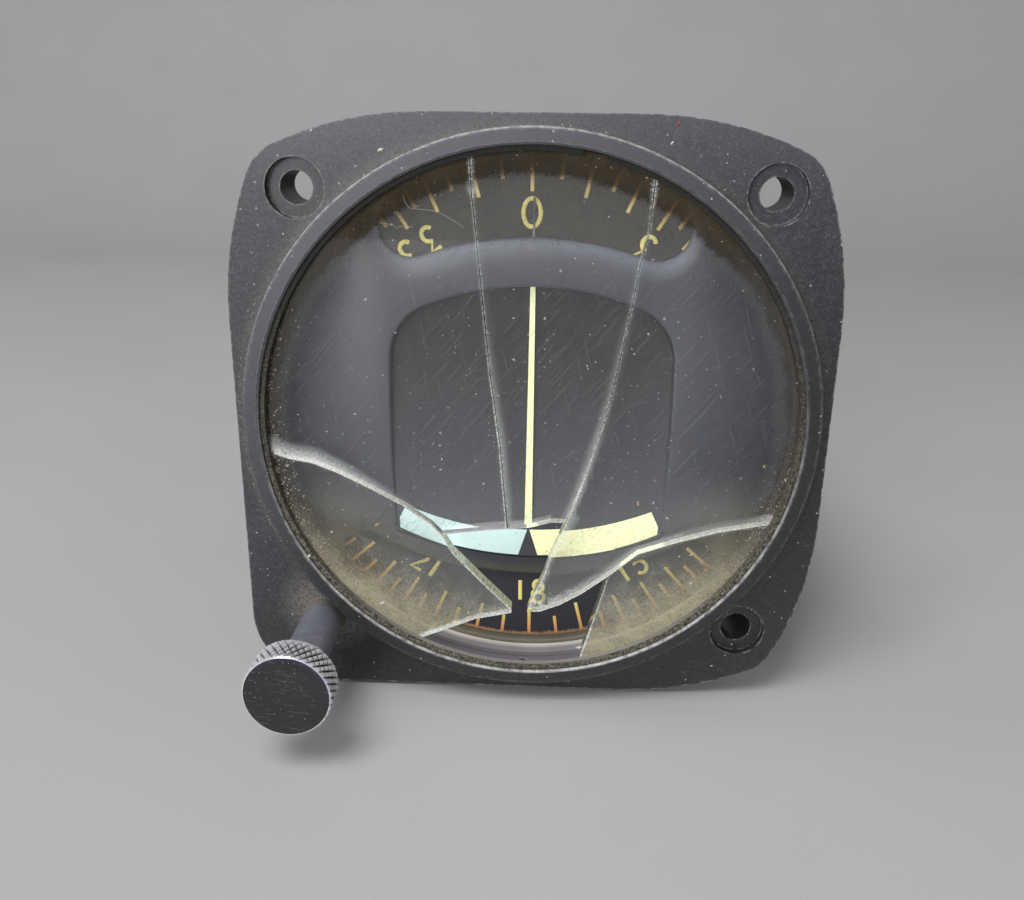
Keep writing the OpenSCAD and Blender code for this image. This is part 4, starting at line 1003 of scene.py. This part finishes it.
metal = add(tree, "MAXIMUM", face, groove)
metal = add(tree, "MapRange", metal, 0.0, 1.0, 0.5, 0.1)
rough = add(tree, "MapRange", face, 0.0, 1.0, 0.22, 0.5)
fill(shader, shade, Metallic=metal, Roughness=rough)
dress(finish, "obs_knob")

finish, tree, place, shader = new_finish("black_anodised_turning")
axes = add(tree, "SeparateXYZ", place).node.outputs
rings = add(tree, "TexNoise", axes[1], 5.0, 3.0, noise_dimensions="1D")
grime = add(tree, "TexNoise", place, 1.3, 8.0, 0.75)
streaked = add(tree, "VectorMath", place, (0.5, 4.0, 0.5), operation="MULTIPLY")
streaked = add(tree, "TexNoise", streaked, 1.0, 4.0)
streaked = add(tree, "MapRange", streaked, 0.5, 0.7, 0.0, 0.6)
base_dust = mask_of(tree, (axes[1], -11.5, -8.9), grime)
base_dust = add(tree, "MULTIPLY", base_dust, 1.7, use_clamp=True)
shade = layered(tree, "#767782", (rings, "#9b9daa"), (streaked, "#aeb0ba"), (base_dust, "#9a907a"))
relief = add(tree, "Bump", Height=rings, Strength=0.5, Distance=0.05 * MM)
fill(shader, shade, Roughness=0.34, Metallic=0.4, Normal=relief)
dress(finish, "obs_shaft")

# Dirt.
# Grains of dry dirt lie on the retaining ring, on the rim of the glass and at the foot of
# the collar. They are drawn a little coarser than the finest real ones.
grit, given = new_maker("grit_round_a_ring", ["Count", "Seed"], [
    "Inner radius", "Outer radius", "Start angle", "End angle", "Height", "Smallest", "Largest",
])
seats = add(grit, "GeometryNodePoints", given["Count"])
chances = []
for number in range(6):
    seed = add(grit, "ADD", given["Seed"], float(number * 17))
    chances.append(add(grit, "FunctionNodeRandomValue", 0.0, 1.0, Seed=seed, data_type="FLOAT"))
both = add(grit, "ADD", chances[0], chances[1])
angle = add(grit, "MapRange", both, 0.0, 2.0, given["Start angle"], given["End angle"])
inward = add(grit, "POWER", chances[2], 2.2)
away = add(grit, "MapRange", inward, 0.0, 1.0, given["Outer radius"], given["Inner radius"])
x = add(grit, "MULTIPLY", away, add(grit, "SINE", angle))
z = add(grit, "MULTIPLY", away, add(grit, "COSINE", angle))
spot = add(grit, "CombineXYZ", x, given["Height"], z)
seats = add(grit, "GeometryNodeSetPosition", seats, Position=spot)
big = add(grit, "POWER", chances[3], 3.0)
big = add(grit, "MapRange", big, 0.0, 1.0, given["Smallest"], given["Largest"])
longer = add(grit, "MapRange", chances[4], 0.0, 1.0, 0.7, 1.7)
longer = add(grit, "MULTIPLY", longer, big)
flatter = add(grit, "MULTIPLY", big, 0.7)
size = add(grit, "CombineXYZ", longer, flatter, big)
tumble = add(grit, "MULTIPLY", chances[5], 6.283)
tumble = add(grit, "CombineXYZ", chances[4], tumble, chances[3])
ball = add(grit, "GeometryNodeMeshIcoSphere", 0.5, 1)
placed = add(
    grit, "GeometryNodeInstanceOnPoints", seats, Instance=ball, Rotation=tumble, Scale=size,
)
end_maker(grit, placed, given["Finish"])

finish, tree, place, shader = new_finish("dry_beige_dirt")
tone = add(tree, "TexNoise", place, 2.5, 4.0, 0.7)
tone = add(tree, "MapRange", tone, 0.35, 0.65)
shade = add(tree, "Mix", tone, "#6a6458", "#bab4a2", data_type="RGBA")
fill(shader, shade, Roughness=0.9)
glass_front, ring_front, flange_front = -10.68, -11.85, -8.7
for name, count, seed, inner, outer, start, end, height, small, large, slot in (
    ("grit_on_glass_left", 620, 3, 33.6, 36.5, 206, 300, glass_front, 0.08, 0.34, "cover_glass"),
    ("grit_on_glass_right", 520, 5, 33.4, 36.5, 88, 166, glass_front, 0.08, 0.32, "cover_glass"),
    ("grit_on_ring", 420, 8, 36.85, 37.25, 100, 285, ring_front, 0.06, 0.18, "spring_steel"),
    ("grit_at_collar_foot", 420, 13, 39.6, 41.2, 195, 300, flange_front, 0.08, 0.3,
     "cast_black_paint"),
):
    grains = grow(name, grit, {
        "Count": count, "Seed": seed, "Inner radius": inner * MM, "Outer radius": outer * MM,
        "Start angle": math.radians(start), "End angle": math.radians(end), "Height": height * MM,
        "Smallest": small * MM, "Largest": large * MM, "Finish": finish,
    })
    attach(grains, "frame")

# Loose hairs and chips.
# A few textile hairs lie on the glass, and flakes of the bare casting show on the flange.
finish, tree, place, shader = new_finish("pale_textile_hair")
tone = add(tree, "TexNoise", place, 1.5, 3.0)
shade = add(tree, "Mix", tone, "#7d7768", "#c3beb2", data_type="RGBA")
fill(shader, shade, Roughness=0.8)
hair_wide, hair_lift = 0.052, 0.04
hairs = pen_curve("hairs", hair_wide, 1)
for line in (
    ((-16.8, 30.8), (-16.4, 29.2), (-14.7, 29.1), (-12.9, 29.0), (-11.1, 28.3), (-9.0, 26.9)),
    ((-20.0, 27.5), (-19.5, 27.0), (-19.1, 27.4), (-18.5, 26.9), (-18.2, 27.2), (-17.8, 26.5),
     (-17.4, 27.0), (-16.6, 26.7), (-15.6, 26.9)),
    ((33.9, -13.0), (34.5, -14.7), (35.0, -17.1), (34.9, -18.9)),
    ((-19.9, -26.0), (-18.2, -27.4), (-17.4, -26.5), (-18.6, -25.9)),
    ((-24.6, -20.9), (-23.9, -22.3), (-22.6, -23.0)),
):
    spline = stroke(hairs, "NURBS", [(x, glass_front - hair_lift, z) for x, z in line])
    spline.use_endpoint_u = True
    spline.order_u = 3
    spline.resolution_u = 5
loose = drawn("loose_hairs", hairs, Matrix.Scale(MM, 4), finish)
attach(loose, "frame")

collar_front = -12.58
sides = 9
for name, low_colour, high_colour, roughness, slot, groups in (
    ("bare_casting_flakes", "#b9b7b0", "#d9d7d2", 0.5, "cast_black_paint", (
        (flange_front, (
            (-19.9, 36.3, 0.85, 0.3), (17.4, 37.6, 0.6, 1.1), (-8.7, 36.9, 0.3, 0.0),
            (-28.8, 38.6, 0.5, 0.6), (28.2, -37.6, 0.4, 0.2), (35.5, -22.5, 0.35, 2.0),
        )),
        (collar_front, ((-31.3, -19.6, 0.7, 0.9),)),
        (glass_front, ((-21.3, -27.8, 0.8, 0.4), (8.0, -34.1, 0.9, 0.1))),
    )),
    ("tan_crumbs", "#8c7a58", "#b7a77e", 0.8, "cover_glass", ((glass_front, (
        (-21.7, -15.2, 0.75, 0.5), (15.5, -10.7, 0.6, 1.3), (32.6, -4.8, 0.6, 2.2),
        (3.4, -27.6, 0.3, 0.3), (10.6, -35.4, 0.9, 0.2),
    )),)),
    # Painted reflection: a small yellow mark on the glass stands for the yellow of a tick seen
    # refracted through the tip of a shard.
    ("painted_yellow_refraction", "#cfc26a", "#ddd486", 0.6, "cover_glass", (
        (glass_front, ((0.6, -28.0, 0.9, 0.4),)),
    )),
    ("red_fleck", "#9c3a34", "#b0463c", 0.6, "cast_black_paint", (
        (flange_front, ((18.0, 39.9, 0.7, 0.8),)),
    )),
):
    finish, tree, place, shader = new_finish(name)
    tone = add(tree, "TexNoise", place, 3.0, 4.0)
    shade = add(tree, "Mix", tone, low_colour, high_colour, data_type="RGBA")
    fill(shader, shade, Roughness=roughness)
    points, faces = [], []
    spots = [(x, y, z, width, turned) for y, group in groups for x, z, width, turned in group]
    for x, y, z, width, turned in spots:
        first = len(points)
        for row, (share, rise) in enumerate(((1.0, 0.0), (0.8, 0.55), (0.35, 0.9))):
            for i in range(sides):
                t = 2 * math.pi * i / sides + turned
                ragged = 1 + 0.28 * math.sin(3.7 * i + 5 * turned) + 0.12 * math.sin(8.1 * i + row)
                along = 0.5 * width * share * ragged * math.cos(t)
                across = 0.28 * width * share * ragged * math.sin(t)
                points.append((
                    x + along * math.cos(turned) - across * math.sin(turned),
                    y + 0.02 - rise * 0.22 * width,
                    z + along * math.sin(turned) + across * math.cos(turned),
                ))
        for low in (first, first + sides):
            for i in range(sides):
                j = (i + 1) % sides
                faces.append((low + i, low + sides + i, low + sides + j, low + j))
        faces.append(tuple(first + 2 * sides + i for i in range(sides)))
        faces.append(tuple(first + i for i in reversed(range(sides))))
    piece = new_piece(name, points, faces)
    form = bmesh.new()
    form.from_mesh(piece.data)
    bmesh.ops.recalc_face_normals(form, faces=form.faces)
    form.to_mesh(piece.data)
    form.free()
    piece.data.materials.append(finish)
    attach(piece, "frame")

# Case and rear cover.
# Drawn aluminium tube and turned cover, sprayed satin black and screwed together.
finish, tree, place, shader = new_finish("satin_black_spray_on_tube")
patches = add(tree, "TexNoise", place, 0.1, 5.0)
grime = add(tree, "TexNoise", place, 1.1, 8.0, 0.7)
peel = add(tree, "TexNoise", place, 2.4, 5.0, 0.65)
dust = add(tree, "MapRange", grime, 0.5, 0.75, 0.0, 0.35)
rub = mask_of(tree, (edge_match(tree, 0.4), 0.995, 0.9, 0.0, 1.4), grime)
chips = flecks(tree, place, 0.5, 0.25, 0.3, flat=False)
shade = layered(
    tree, "#434347", (patches, "#36363a"), (dust, "#6d6456"), (rub, "#9b9a9c"),
    (chips, "#8f8c8b"),
)
rough = add(tree, "MapRange", grime, 0.3, 0.7, 0.36, 0.56)
relief = add(tree, "Bump", Height=peel, Strength=0.35, Distance=0.06 * MM)
fill(shader, shade, Roughness=rough, Normal=relief)
dress(finish, "case_body", "rear_cover")

# Works behind the dial.
# Brass wheels and bridges, aluminium plates, plated screws, alloy magnet, copper coils.
for name, low_colour, high_colour, metallic, roughness, nodes in (
    ("machined_brass", "#9c7f45", "#bb9a58", 1.0, 0.3,
     ("card_gear", "obs_pinion", "idler_cluster", "resolver_gear", "bearing_sleeve",
      "core_bracket", "front_bridge", "rear_bridge", "zero_lever", "balance_weights")),
    ("reamed_bronze", "#8a6a3c", "#a37f49", 1.0, 0.35, ("shaft_bushing", "idler_bushings")),
    ("spring_bronze_strip", "#b08340", "#c69750", 1.0, 0.25, ("hair_springs",)),
    ("machined_aluminium", "#a2a5a8", "#b9bcbf", 1.0, 0.35,
     ("front_plate", "mid_plate", "front_posts", "rear_posts", "plate_lock_ring",
      "resolver_case", "resolver_cleats")),
    ("plated_steel", "#7c7c7d", "#98989a", 1.0, 0.35,
     ("knob_set_screw", "pinion_cover_screws", "gear_set_screw", "cleat_screws", "bridge_screws",
      "cover_screws", "connector_screws", "card_keeper")),
    ("ground_magnet_alloy", "#56585c", "#6d6f73", 1.0, 0.4, ("field_magnet",)),
    ("turned_soft_iron", "#77797c", "#8f9194", 1.0, 0.4,
     ("pole_pieces", "iron_core", "resolver_rotor")),
    ("polished_bearing_steel", "#b3b5b8", "#c9cbce", 1.0, 0.15,
     ("resolver_bearings", "coil_staff")),
    ("varnished_copper_wire", "#7c4225", "#9d5732", 1.0, 0.35, ("resolver_stator", "moving_coil")),
    ("polished_ruby", "#8e2036", "#a62a42", 0.0, 0.08, ("jewel_bearings",)),
    ("dull_plated_alloy", "#74766f", "#8d8f88", 1.0, 0.42, ("connector_shell",)),
    ("moulded_insulator", "#19191a", "#242425", 0.0, 0.5, ("connector_insert",)),
    ("gold_plated_contact", "#c9a24b", "#dcb965", 1.0, 0.25,
     ("connector_pins", "resolver_terminals")),
):
    finish, tree, place, shader = new_finish(name)
    mottle = add(tree, "TexNoise", place, 0.8, 6.0)
    shade = add(tree, "Mix", mottle, low_colour, high_colour, data_type="RGBA")
    rough = add(tree, "MapRange", mottle, 0.0, 1.0, roughness - 0.07, roughness + 0.1)
    fill(shader, shade, Metallic=metallic, Roughness=rough)
    dress(finish, *nodes)
